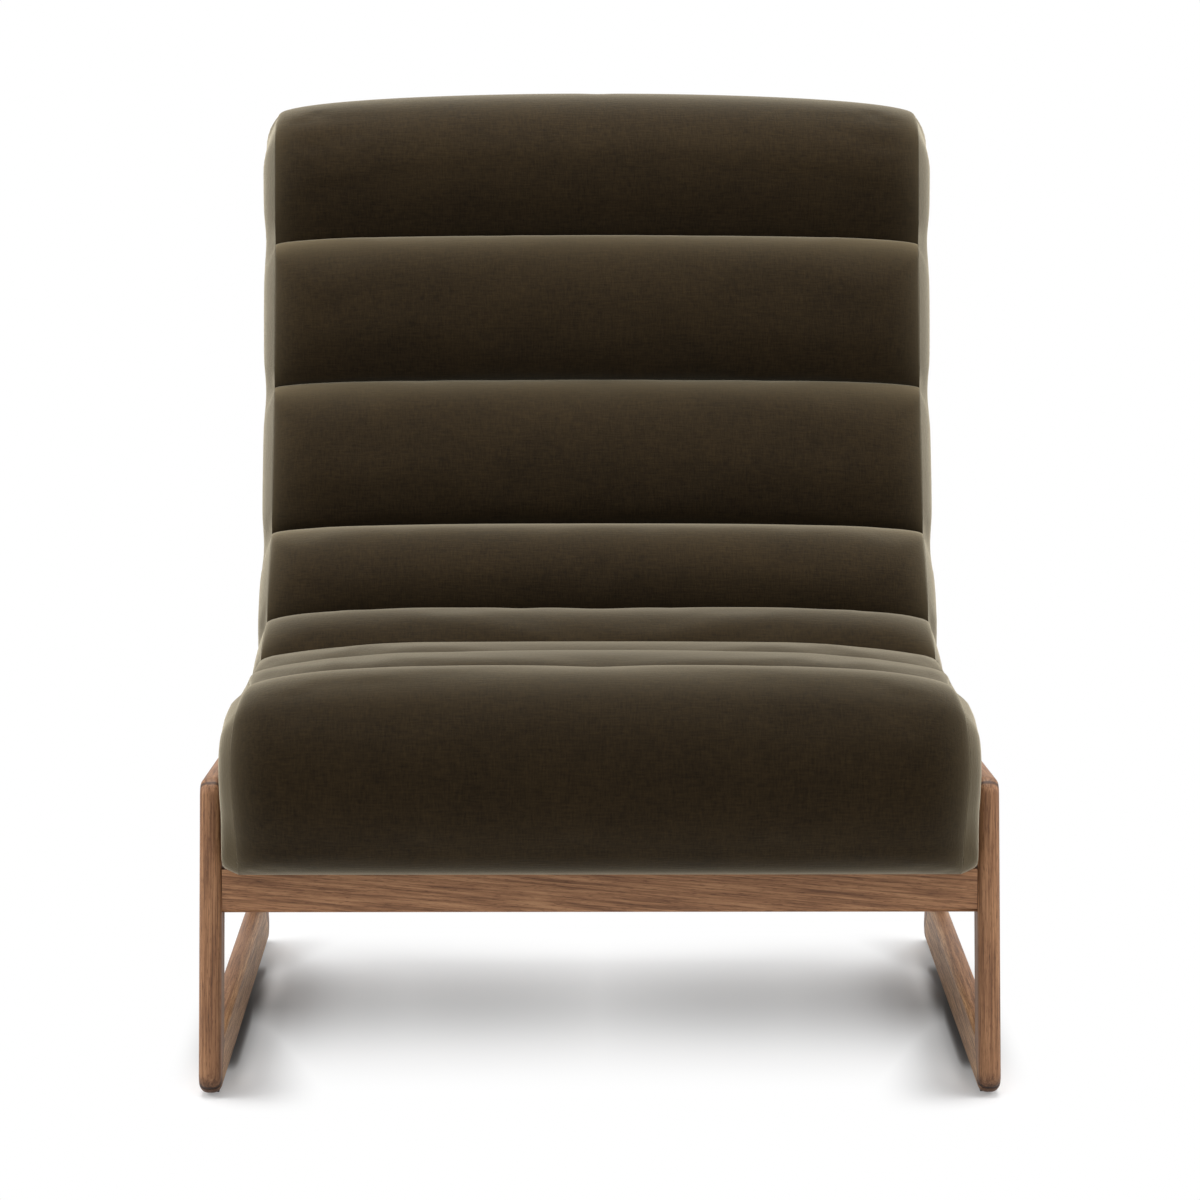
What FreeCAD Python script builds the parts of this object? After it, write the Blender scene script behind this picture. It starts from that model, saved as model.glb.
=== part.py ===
import FreeCAD, Part
import math
import os
import Sketcher

# Armless channel-tufted lounge chair: a one-piece upholstered seat and back that
# lies in a cradle of two sled side frames and two cross rails.
# Axes: X across, Y from the front to the rear, Z up from the floor.

os.makedirs("parts", exist_ok=True)
V = FreeCAD.Vector
doc = FreeCAD.newDocument("LoungeChair")

SIZES = {
    # side frames: one closed loop of boards, seen from the side
    "stock_thickness": 21.5,
    "member_width": 52,
    "frame_half_width": 380,
    "foot_front_y": -369,
    "runner_rear_y": 386,
    "front_leg_lean": 11,
    "rear_leg_lean": 27,
    "frame_front_height": 298,
    "top_rail_fall": 3.4,
    "outer_corner_radius": 18.5,
    "edge_round": 9,
    "spline_thickness": 5,
    "spline_length": 26,
    "spline_width": 22,
    # cross rails and their loose tenons
    "rail_height": 41,
    "rail_thickness": 22,
    "rail_edge_round": 3,
    "front_rail_setback": 3,
    "rear_rail_angle": 33,
    "tenon_thickness": 8,
    "tenon_height": 25,
    "tenon_in_leg": 7.5,
    "tenon_in_rail": 26,
    "glide_length": 36,
    "glide_width": 14,
    "runner_base_z": 2,
    "glide_inset": 50,
    # seat and back profile, along the sewn valleys between the channels
    "valley_front_y": -287,
    "valley_front_z": 385,
    "seat_slope_angle": 3.5,
    "seat_straight": 274,
    "bend_radius": 215,
    "bend_end_angle": 61,
    "back_radius": 850,
    "back_end_angle": 80,
    "shell_depth": 174,
    "rear_face_angle": 82,
    "frame_front_reach": 68,
    "inner_top_z": 858,
    # channel spacing along the profile
    "channel_7_pitch": 140,
    "channel_6_pitch": 138,
    "channel_5_pitch": 112,
    "channel_4_pitch": 126,
    "channel_3_pitch": 162,
    "channel_2_pitch": 152,
    "seat_front_crown": 25,
    "seat_rear_crown": 22,
    "bend_crown": 31,
    "back_crown": 23,
    "roll_depth": 12,
    # front roll, measured from its middle
    "front_roll_y": -360,
    "front_roll_z": 318,
    "front_roll_rise": 93,
    "front_roll_reach": 69,
    "front_roll_drop": 102,
    "front_roll_rise_draw_ratio": 0.26,
    "front_roll_reach_draw_ratio": 0.1,
    "front_roll_drop_draw_ratio": 0.03,
    # top roll, measured from its middle
    "top_roll_y": 358,
    "top_roll_rise": 67,
    "top_roll_half": 82,
    "top_roll_draw_ratio": 0.6,
    # soft layers
    "side_bulge": 15,
    "side_clearance": 3.5,
    "end_crown_ratio": 0.45,
    "full_crown_ratio": 0.9,
    "pad_edge": 26,
    "foam_thickness": 38,
    "webbing_thickness": 2,
    "webbing_width": 50,
    "seat_web_margin": 30,
    "first_back_web": 286,
    "back_board": 4,
    "clearance": 0.3,
    "pin_clearance": 0.15,
    # inner timber frame
    "cheek_thickness": 18,
    "board_thickness": 22,
    "seat_rear_bearer_at": 240,
    "bend_bearer_at": 395,
    "lumbar_bearer_at": 546,
    "mid_back_bearer_at": 697,
    "top_bearer_inset": 2,
    "seat_bearer_depth": 45,
    "back_bearer_depth": 32,
    "rail_bearer_depth": 30,
    "rail_bearer_width": 62,
    "corner_block_leg": 48,
    "corner_block_height": 40,
    # fixings
    "screw_diameter": 6,
    "screw_hexagon": 5.8,
    "screw_head_height": 4,
    "screw_recess": 8,
    "screw_recess_width": 15,
    "panel_opening": 12,
    "screw_in_bearer": 26,
    "screw_spread": 210,
}

sheet = doc.addObject("Spreadsheet::Sheet", "Sizes")
for row, (alias, value) in enumerate(SIZES.items(), start=1):
    sheet.set(f"A{row}", alias.replace("_", " "))
    sheet.set(f"B{row}", str(value))
    sheet.setAlias(f"B{row}", alias)
doc.recompute()


def size(alias):
    """The sheet's value of one driving dimension."""
    return float(sheet.get(alias))


def cell(alias):
    """The sheet's value as it is written in an expression."""
    return f"Sizes.{alias}"


nodes = []


def keep(piece, label):
    """Register a finished piece under the name of its file."""
    piece.Label = label
    nodes.append(piece)
    return piece


def shaped(label, shape):
    """A piece whose solid is worked out from the sheet's values."""
    piece = doc.addObject("Part::Feature", label)
    piece.Shape = shape
    return piece


# Outlines in the side view: the plane at constant X, with Y across and Z up


def side(y, z):
    return V(0, y, z)


def turned(degrees, length=1.0):
    """A vector of the side view, at an angle from +Y towards +Z."""
    a = math.radians(degrees)
    return V(0, length * math.cos(a), length * math.sin(a))


SEAT_START = side(size("valley_front_y"), size("valley_front_z"))
SEAT_HEADING = -size("seat_slope_angle")
BEND_TURN = size("bend_end_angle") - SEAT_HEADING
BACK_TURN = size("back_end_angle") - size("bend_end_angle")
BEND_START = size("seat_straight")
BACK_START = BEND_START + size("bend_radius") * math.radians(BEND_TURN)
STRAIGHT_START = BACK_START + size("back_radius") * math.radians(BACK_TURN)
BEND_CENTRE = (
    SEAT_START + turned(SEAT_HEADING, BEND_START) + turned(SEAT_HEADING + 90, size("bend_radius"))
)
BACK_CENTRE = BEND_CENTRE + turned(
    size("bend_end_angle") + 90, size("back_radius") - size("bend_radius")
)
STRAIGHT_POINT = BACK_CENTRE - turned(size("back_end_angle") + 90, size("back_radius"))


def heading(s):
    """Direction of the valley profile, in degrees, at the arc length s."""
    if s <= BEND_START:
        return SEAT_HEADING
    if s <= BACK_START:
        return SEAT_HEADING + math.degrees((s - BEND_START) / size("bend_radius"))
    if s <= STRAIGHT_START:
        return size("bend_end_angle") + math.degrees((s - BACK_START) / size("back_radius"))
    return size("back_end_angle")


def profile(s, depth):
    """Point at arc length s from the first seat valley, sunk by depth into the shell."""
    into = turned(heading(s) - 90, depth)
    if s <= BEND_START:
        return SEAT_START + turned(SEAT_HEADING, s) + into
    if s <= BACK_START:
        return BEND_CENTRE - turned(heading(s) + 90, size("bend_radius")) + into
    if s <= STRAIGHT_START:
        return BACK_CENTRE - turned(heading(s) + 90, size("back_radius")) + into
    return STRAIGHT_POINT + turned(size("back_end_angle"), s - STRAIGHT_START) + into


def reach_height(depth, height):
    """Arc length at which the profile, sunk by depth, comes to a height."""
    into = turned(size("back_end_angle") - 90, depth)
    rise = height - (STRAIGHT_POINT + into).z
    return STRAIGHT_START + rise / math.sin(math.radians(size("back_end_angle")))


def inner_path(depth, start, end):
    """Edges along the profile at one depth: straight, bend, back arc, straight."""
    stops = [start, BEND_START, BACK_START, STRAIGHT_START, end]
    edges = []
    for first, last in zip(stops[:-1], stops[1:]):
        a = profile(first, depth)
        b = profile(last, depth)
        if first in (BEND_START, BACK_START):
            middle = profile((first + last) / 2, depth)
            edges.append(Part.Arc(a, middle, b).toShape())
        else:
            edges.append(Part.LineSegment(a, b).toShape())
    return edges


def underside(s, inset):
    """Point on the flat underside, in by the inset from the outside."""
    return profile(s, size("shell_depth") - inset)


def rear_point(inset, turn):
    """Point on the round heel of the shell at a heading."""
    radius = size("bend_radius") + size("shell_depth") - inset
    return BEND_CENTRE - turned(turn + 90, radius)


def rear_top(inset, height):
    """Point on the straight rear face at a height."""
    lean = size("rear_face_angle")
    foot = rear_point(inset, lean)
    return foot + turned(lean, (height - foot.z) / math.sin(math.radians(lean)))


def outer_path(inset, height, front):
    """Edges down the rear face, round the heel and forward along the underside."""
    top = rear_top(inset, height)
    foot = rear_point(inset, size("rear_face_angle"))
    middle = rear_point(inset, (size("rear_face_angle") + SEAT_HEADING) / 2)
    heel = rear_point(inset, SEAT_HEADING)
    return [
        Part.LineSegment(top, foot).toShape(),
        Part.Arc(foot, middle, heel).toShape(),
        Part.LineSegment(heel, underside(front, inset)).toShape(),
    ]


def first_point(edge):
    return edge.valueAt(edge.FirstParameter)


def last_point(edge):
    return edge.valueAt(edge.LastParameter)


def closed(edges):
    """One closed wire: the edges in order, with straight joins where they are apart."""
    joined = []
    for edge, following in zip(edges, edges[1:] + edges[:1]):
        joined.append(edge)
        if last_point(edge).distanceToPoint(first_point(following)) > 1e-6:
            joined.append(Part.LineSegment(last_point(edge), first_point(following)).toShape())
    return Part.Wire(joined)


def slab(edges, half_width):
    """Solid between -half_width and +half_width over a side outline."""
    face = Part.Face(closed(edges))
    face.translate(V(-half_width, 0, 0))
    return face.extrude(V(2 * half_width, 0, 0))


# Sketches and bodies


def plane_of(body, role):
    for feature in body.Origin.OriginFeatures:
        if feature.Role == role:
            return feature
    raise ValueError(role)


def outline_sketch(body, name, corners, role="YZ_Plane"):
    """Closed polygon whose corners are each tied to the sheet by two distances."""
    sketch = body.newObject("Sketcher::SketchObject", name)
    sketch.AttachmentSupport = [(plane_of(body, role), "")]
    sketch.MapMode = "FlatFace"
    count = len(corners)
    for number in range(count):
        start = V(*corners[number][:2], 0)
        end = V(*corners[(number + 1) % count][:2], 0)
        sketch.addGeometry(Part.LineSegment(start, end), False)
    for number in range(count):
        sketch.addConstraint(
            Sketcher.Constraint("Coincident", number, 2, (number + 1) % count, 1)
        )
    for number, corner in enumerate(corners):
        across = Sketcher.Constraint("DistanceX", -1, 1, number, 1, corner[0])
        up = Sketcher.Constraint("DistanceY", -1, 1, number, 1, corner[1])
        for constraint, formula in ((across, corner[2]), (up, corner[3])):
            place = sketch.addConstraint(constraint)
            sketch.setExpression(f"Constraints[{place}]", formula)
    doc.recompute()
    return sketch


def pad(body, sketch, name, length, formula):
    feature = body.newObject("PartDesign::Pad", name)
    feature.Profile = sketch
    feature.Length = length
    feature.setExpression("Length", formula)
    feature.Midplane = True
    sketch.Visibility = False
    doc.recompute()
    return feature


def rounded(body, base, name, edges, alias):
    """Fillet of the named edges with one radius of the sheet."""
    feature = body.newObject("PartDesign::Fillet", name)
    feature.Base = (base, edges)
    feature.Radius = size(alias)
    feature.setExpression("Radius", cell(alias))
    doc.recompute()
    return feature


def edges_where(shape, test):
    return [f"Edge{n}" for n, edge in enumerate(shape.Edges, start=1) if test(edge)]


def runs_along_x(edge):
    a, b = edge.Vertexes[0].Point, edge.Vertexes[-1].Point
    return abs(a.y - b.y) < 1e-4 and abs(a.z - b.z) < 1e-4 and abs(a.x - b.x) > 1e-3


# Side frame: corners of the loop, outside and inside, as numbers and as the
# formulas that tie the sketches to the sheet

BASE = size("runner_base_z")
FRONT_TAN = math.tan(math.radians(size("front_leg_lean")))
REAR_TAN = math.tan(math.radians(size("rear_leg_lean")))
FALL_TAN = math.tan(math.radians(size("top_rail_fall")))
FRONT_SPAN = size("member_width") / math.cos(math.radians(size("front_leg_lean")))
REAR_SPAN = size("member_width") / math.cos(math.radians(size("rear_leg_lean")))
RAIL_SPAN = size("member_width") / math.cos(math.radians(size("top_rail_fall")))
STOCK_MIDDLE = size("frame_half_width") - size("stock_thickness") / 2
STOCK_INNER = size("frame_half_width") - size("stock_thickness")

FRONT_TAN_TEXT = "tan(Sizes.front_leg_lean * 1 deg)"
REAR_TAN_TEXT = "tan(Sizes.rear_leg_lean * 1 deg)"
FALL_TAN_TEXT = "tan(Sizes.top_rail_fall * 1 deg)"
FULL_INSET = (
    "Sizes.member_width / cos(Sizes.front_leg_lean * 1 deg)",
    "Sizes.member_width / cos(Sizes.rear_leg_lean * 1 deg)",
    "Sizes.member_width / cos(Sizes.top_rail_fall * 1 deg)",
)


def leg_front(z, setback=0.0):
    """Y of the front leg's front edge at a height, moved back by a setback."""
    return size("foot_front_y") + setback + (z - BASE) * FRONT_TAN


def leg_rear(z, setback=0.0):
    """Y of the rear leg's rear edge at a height, moved forward by a setback."""
    return size("runner_rear_y") - setback - (z - BASE) * REAR_TAN


def loop_corners(front, rear, top, bottom):
    """Four corners of the side loop, moved in by a setback on each side."""
    rise = size("frame_front_height") - BASE
    front_top = size("foot_front_y") + rise * FRONT_TAN
    front_z = BASE + (rise - top + (front_top - size("foot_front_y") - front) * FALL_TAN) / (
        1 + FRONT_TAN * FALL_TAN
    )
    rear_z = BASE + (rise - top - (size("runner_rear_y") - rear - front_top) * FALL_TAN) / (
        1 - REAR_TAN * FALL_TAN
    )
    floor = BASE + bottom
    return [
        side(leg_front(floor, front), floor),
        side(leg_rear(floor, rear), floor),
        side(leg_rear(rear_z, rear), rear_z),
        side(leg_front(front_z, front), front_z),
    ]


def loop_formulas(front, rear, top, bottom):
    """The same corners as pairs of expression texts."""
    rise = "(Sizes.frame_front_height - Sizes.runner_base_z)"
    front_top = f"(Sizes.foot_front_y + {rise} * {FRONT_TAN_TEXT})"
    front_up = (
        f"(({rise} - {top} + ({front_top} - Sizes.foot_front_y - {front}) * {FALL_TAN_TEXT})"
        f" / (1 + {FRONT_TAN_TEXT} * {FALL_TAN_TEXT}))"
    )
    rear_up = (
        f"(({rise} - {top} - (Sizes.runner_rear_y - {rear} - {front_top}) * {FALL_TAN_TEXT})"
        f" / (1 - {REAR_TAN_TEXT} * {FALL_TAN_TEXT}))"
    )
    pairs = []
    for up, at_front in ((bottom, True), (bottom, False), (rear_up, False), (front_up, True)):
        if at_front:
            across = f"Sizes.foot_front_y + {front} + {up} * {FRONT_TAN_TEXT}"
        else:
            across = f"Sizes.runner_rear_y - {rear} - {up} * {REAR_TAN_TEXT}"
        pairs.append((across, f"Sizes.runner_base_z + {up}"))
    return pairs


CORNERS = ("front_foot", "rear_foot", "rear_top", "front_top")
OUTER = dict(zip(CORNERS, loop_corners(0, 0, 0, 0)))
INNER = dict(zip(CORNERS, loop_corners(FRONT_SPAN, REAR_SPAN, RAIL_SPAN, size("member_width"))))


def corner_list(loop, formulas):
    return [(loop[name].y, loop[name].z, a, u) for name, (a, u) in zip(CORNERS, formulas)]


def near(points, edge):
    middle = edge.CenterOfMass
    return any(abs(middle.y - p.y) < 1e-3 and abs(middle.z - p.z) < 1e-3 for p in points)


def make_side_loop():
    """The closed loop of one side frame, outer corners rounded and edges softened."""
    body = doc.addObject("PartDesign::Body", "side_loop")
    outer = outline_sketch(
        body, "loop_outside", corner_list(OUTER, loop_formulas("0", "0", "0", "0"))
    )
    pad(body, outer, "loop_stock", size("stock_thickness"), cell("stock_thickness"))
    inner = outline_sketch(
        body,
        "loop_inside",
        corner_list(INNER, loop_formulas(*FULL_INSET, "Sizes.member_width")),
    )
    full = body.Shape.Volume
    opening = body.newObject("PartDesign::Pocket", "loop_opening")
    opening.Profile = inner
    opening.Type = "ThroughAll"
    opening.Midplane = True
    inner.Visibility = False
    doc.recompute()
    if body.Shape.Volume > 0.6 * full:
        raise ValueError("the opening of the side loop was not cut")
    across = edges_where(body.Shape, lambda e: runs_along_x(e) and near(OUTER.values(), e))
    rounded(body, opening, "outer_corners", across, "outer_corner_radius")
    half = size("stock_thickness") / 2
    rims = edges_where(
        body.Shape, lambda e: abs(abs(e.CenterOfMass.x) - half) < 1e-3 and not runs_along_x(e)
    )
    rounded(body, body.Tip, "soft_edges", rims, "edge_round")
    body.Placement = FreeCAD.Placement(V(STOCK_MIDDLE, 0, 0), FreeCAD.Rotation())
    body.setExpression(
        "Placement.Base.x", "Sizes.frame_half_width - Sizes.stock_thickness / 2"
    )
    doc.recompute()
    return body


# Cross rails: each lies square to the part of the shell that rests on it

RAIL_HALF = STOCK_INNER


def frame_at(point, turn, x=0.0):
    """Local axes on the side view: Y along the heading, Z square to it."""
    return FreeCAD.Placement(V(x, point.y, point.z), FreeCAD.Rotation(V(1, 0, 0), turn))


def front_rail_frame():
    """Top front edge of the front rail: under the shell, set back from the legs' faces."""
    into = turned(SEAT_HEADING - 90, size("shell_depth") + size("clearance"))
    guess = leg_front((SEAT_START + into).z) + size("front_rail_setback")
    along = (guess - (SEAT_START + into).y) / math.cos(math.radians(SEAT_HEADING))
    return frame_at(SEAT_START + into + turned(SEAT_HEADING, along), SEAT_HEADING)


def rear_rail_frame():
    """Top front edge of the rear rail: its top is a tangent of the shell's heel."""
    turn = size("rear_rail_angle")
    middle = rear_point(-size("clearance"), turn)
    return frame_at(middle - turned(turn, size("rail_thickness") / 2), turn)


FRONT_FRAME = front_rail_frame()
REAR_FRAME = rear_rail_frame()


def make_rail_body(name, place):
    """A cross rail with softened long edges, square between the side frames."""
    body = doc.addObject("PartDesign::Body", name)
    thick, tall = size("rail_thickness"), size("rail_height")
    corners = [
        (0, 0, "0", "0"),
        (thick, 0, cell("rail_thickness"), "0"),
        (thick, -tall, cell("rail_thickness"), "-Sizes.rail_height"),
        (0, -tall, "0", "-Sizes.rail_height"),
    ]
    sketch = outline_sketch(body, f"{name}_section", corners[::-1])
    stock = pad(
        body,
        sketch,
        f"{name}_stock",
        2 * RAIL_HALF,
        "2 * (Sizes.frame_half_width - Sizes.stock_thickness)",
    )
    lower = edges_where(
        body.Shape, lambda e: runs_along_x(e) and e.CenterOfMass.z < -tall + 1e-3
    )
    rounded(body, stock, f"{name}_edges", lower, "rail_edge_round")
    body.Placement = place
    doc.recompute()
    return body


def rail_tenon(place, grow=0.0):
    """A flat loose tenon across the joint at the right end of a rail."""
    long = size("tenon_in_rail") + size("tenon_in_leg") + 2 * grow
    thick, tall = size("tenon_thickness") + 2 * grow, size("tenon_height") + 2 * grow
    corner = V(
        RAIL_HALF - size("tenon_in_rail") - grow,
        (size("rail_thickness") - thick) / 2,
        -(size("rail_height") + tall) / 2,
    )
    tenon = Part.makeBox(long, thick, tall, corner)
    tenon.Placement = place
    return tenon


def right_tenons(grow=0.0):
    return [rail_tenon(place, grow) for place in (FRONT_FRAME, REAR_FRAME)]


def mirrored(shape):
    return shape.mirror(V(0, 0, 0), V(1, 0, 0))


def both_sides(shapes):
    return shapes + [mirrored(shape) for shape in shapes]


# Splines across the mitres of the right side loop


def spline(corner, grow=0.0):
    """A flat key across one mitre, in the middle of the stock."""
    middle = (OUTER[corner] + INNER[corner]) / 2
    along = OUTER[corner] - INNER[corner]
    turn = math.degrees(math.atan2(along.z, along.y))
    long, wide = size("spline_length") + 2 * grow, size("spline_width") + 2 * grow
    thick = size("spline_thickness") + 2 * grow
    key = Part.makeBox(thick, wide, long, V(-thick / 2, -wide / 2, -long / 2))
    key.Placement = frame_at(middle, turn, STOCK_MIDDLE)
    return key


# Glides under the runners


def glide_places():
    inset = size("glide_inset")
    return [leg_front(BASE) + inset, leg_rear(BASE) - inset]


def make_glide_body():
    """A flat pad that is glued under a runner."""
    body = doc.addObject("PartDesign::Body", "glide_master")
    half, wide = size("glide_length") / 2, size("glide_width")
    ends = ((-half, "-Sizes.glide_length / 2"), (half, "Sizes.glide_length / 2"))
    levels = ((0, "0"), (BASE, cell("runner_base_z")))
    order = ((0, 0), (1, 0), (1, 1), (0, 1))
    corners = [(ends[e][0], levels[n][0], ends[e][1], levels[n][1]) for e, n in order]
    sketch = outline_sketch(body, "glide_section", corners)
    pad(body, sketch, "glide_pad", wide, cell("glide_width"))
    return body


def tool(name, shapes):
    """A cutting tool that isn't a piece of the chair."""
    return shaped(name, Part.makeCompound(shapes))


def cut(name, base, cutter):
    piece = doc.addObject("Part::Cut", name)
    piece.Base = base
    piece.Tool = cutter
    doc.recompute()
    return piece


def mitre_wedge(name, first, last):
    """A prism over one member of the loop, split from the next at the mitres."""
    stretch = 1.3
    a = INNER[first] + (OUTER[first] - INNER[first]) * stretch
    b = INNER[last] + (OUTER[last] - INNER[last]) * stretch
    outline = Part.makePolygon([INNER[first], a, b, INNER[last], INNER[first]])
    face = Part.Face(outline)
    face.translate(V(STOCK_INNER - 1, 0, 0))
    return shaped(name, face.extrude(V(size("stock_thickness") + 2, 0, 0)))


MEMBERS = {
    "front_leg": ("front_top", "front_foot"),
    "runner": ("front_foot", "rear_foot"),
    "rear_leg": ("rear_foot", "rear_top"),
    "top_rail": ("rear_top", "front_top"),
}


def make_side_frames():
    """Four mitred members for the right side, and their mirror images on the left."""
    loop = make_side_loop()
    grow = size("pin_clearance")
    holes = [spline(corner, grow) for corner in CORNERS]
    holes += right_tenons(grow)
    drilled = cut("side_loop_drilled", loop, tool("side_loop_holes", holes))
    for member, (first, last) in MEMBERS.items():
        piece = doc.addObject("Part::Common", f"right_{member}")
        piece.Base = drilled
        piece.Tool = mitre_wedge(f"{member}_wedge", first, last)
        keep(piece, f"right_{member}")
        twin = doc.addObject("Part::Mirroring", f"left_{member}")
        twin.Source = piece
        twin.Normal = V(1, 0, 0)
        keep(twin, f"left_{member}")
    doc.recompute()
    splines = both_sides([spline(corner) for corner in CORNERS])
    keep(shaped("mitre_splines", Part.makeCompound(splines)), "mitre_splines")
    tenons = both_sides(right_tenons())
    keep(shaped("rail_tenons", Part.makeCompound(tenons)), "rail_tenons")
    master = make_glide_body()
    glides = []
    for x in (-STOCK_MIDDLE, STOCK_MIDDLE):
        for y in glide_places():
            copy = master.Shape.copy()
            copy.translate(V(x, y, 0))
            glides.append(copy)
    keep(shaped("floor_glides", Part.makeCompound(glides)), "floor_glides")


# Fixings between rails and shell: hexagon-headed coach screws up through the
# rails into the bearers inside the shell


def fixing_frames():
    """Local axes at the rails' tops, on the axes of the four screws."""
    middle = V(0, size("rail_thickness") / 2, 0)
    frames = []
    for place, turn in ((FRONT_FRAME, SEAT_HEADING), (REAR_FRAME, size("rear_rail_angle"))):
        for x in (-size("screw_spread"), size("screw_spread")):
            frames.append(frame_at(place.multVec(middle), turn, x))
    return frames


BEARER_LOW = size("clearance") + size("back_board") + size("clearance")
HEAD_LEVEL = size("screw_recess") - size("rail_height")
SCREW_TOP = BEARER_LOW + size("screw_in_bearer")


def upright(radius, low, high):
    return Part.makeCylinder(radius, high - low, V(0, 0, low))


def hexagonal(radius, low, high):
    corners = []
    for number in range(7):
        turn = math.radians(60 * number)
        corners.append(V(radius * math.cos(turn), radius * math.sin(turn), low))
    return Part.Face(Part.makePolygon(corners)).extrude(V(0, 0, high - low))


def screw_shape():
    """Shank and hexagon head, along local Z."""
    shank = upright(size("screw_diameter") / 2, HEAD_LEVEL, SCREW_TOP)
    head = hexagonal(size("screw_hexagon"), HEAD_LEVEL - size("screw_head_height"), HEAD_LEVEL)
    return shank.fuse(head)


def square_room(width, low, high):
    return Part.makeBox(width, width, high - low, V(-width / 2, -width / 2, low))


def fixing_holes():
    """The room that one screw needs: recess and hole in the rail, opening, pilot hole."""
    grow = size("pin_clearance")
    shank = upright(size("screw_diameter") / 2 + grow, -size("rail_height"), SCREW_TOP + grow)
    recess = square_room(size("screw_recess_width"), -size("rail_height") - 1, HEAD_LEVEL)
    opening = square_room(size("panel_opening"), size("clearance") / 2, BEARER_LOW - grow)
    return shank.fuse([recess, opening])


def at_fixings(shape):
    copies = []
    for place in fixing_frames():
        copy = shape.copy()
        copy.Placement = place.multiply(copy.Placement)
        copies.append(copy)
    return Part.makeCompound(copies)


def make_cross_rails():
    holes = tool("fixing_holes", [at_fixings(fixing_holes())])
    tenons = tool("rail_mortises", both_sides(right_tenons(size("pin_clearance"))))
    for name, place in (("front_rail", FRONT_FRAME), ("rear_rail", REAR_FRAME)):
        blank = make_rail_body(f"{name}_blank", place)
        bored = cut(f"{name}_mortised", blank, tenons)
        keep(cut(name, bored, holes), name)
    keep(shaped("shell_screws", at_fixings(screw_shape())), "shell_screws")
    return holes


# Shell: layers measured from the valley profile inwards

GAP = size("clearance")
FOAM_TOP = size("roll_depth") + GAP
FOAM_LOW = FOAM_TOP + size("foam_thickness")
WEB_TOP = FOAM_LOW + GAP
WEB_LOW = WEB_TOP + size("webbing_thickness")
TIMBER_TOP = WEB_LOW
TIMBER_REAR = size("back_board") + GAP
FRONT_S = -size("frame_front_reach")
INNER_TOP = size("inner_top_z")
SEAM_HALF = STOCK_INNER - size("side_clearance") - size("side_bulge")
SOFT_HALF = SEAM_HALF - GAP
SOFT_HALF_TEXT = (
    "(Sizes.frame_half_width - Sizes.stock_thickness - Sizes.side_clearance"
    " - Sizes.side_bulge - Sizes.clearance)"
)
CHEEK_INNER = SOFT_HALF - size("cheek_thickness")


def make_cheeks():
    """S-shaped side boards of the inner frame."""
    inner = inner_path(TIMBER_TOP, FRONT_S, reach_height(TIMBER_TOP, INNER_TOP))
    outer = outer_path(TIMBER_REAR, INNER_TOP, FRONT_S)
    face = Part.Face(closed(inner + outer))
    for name, x in (("left_cheek", -SOFT_HALF), ("right_cheek", CHEEK_INNER)):
        board = face.copy()
        board.translate(V(x, 0, 0))
        shape = board.extrude(V(size("cheek_thickness"), 0, 0))
        keep(shaped(name, shape), name)


def cross_board(name, point, turn, start, width, low, height, height_text):
    """A board from cheek to cheek: local Y along the heading, Z square to it."""
    board = doc.addObject("Part::Box", name)
    board.Length = 2 * CHEEK_INNER
    board.setExpression("Length", f"2 * ({SOFT_HALF_TEXT} - Sizes.cheek_thickness)")
    board.Width = size(width)
    board.setExpression("Width", cell(width))
    board.Height = height
    board.setExpression("Height", height_text)
    local = FreeCAD.Placement(V(-CHEEK_INNER, start, low), FreeCAD.Rotation())
    board.Placement = frame_at(point, turn).multiply(local)
    return board


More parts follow.
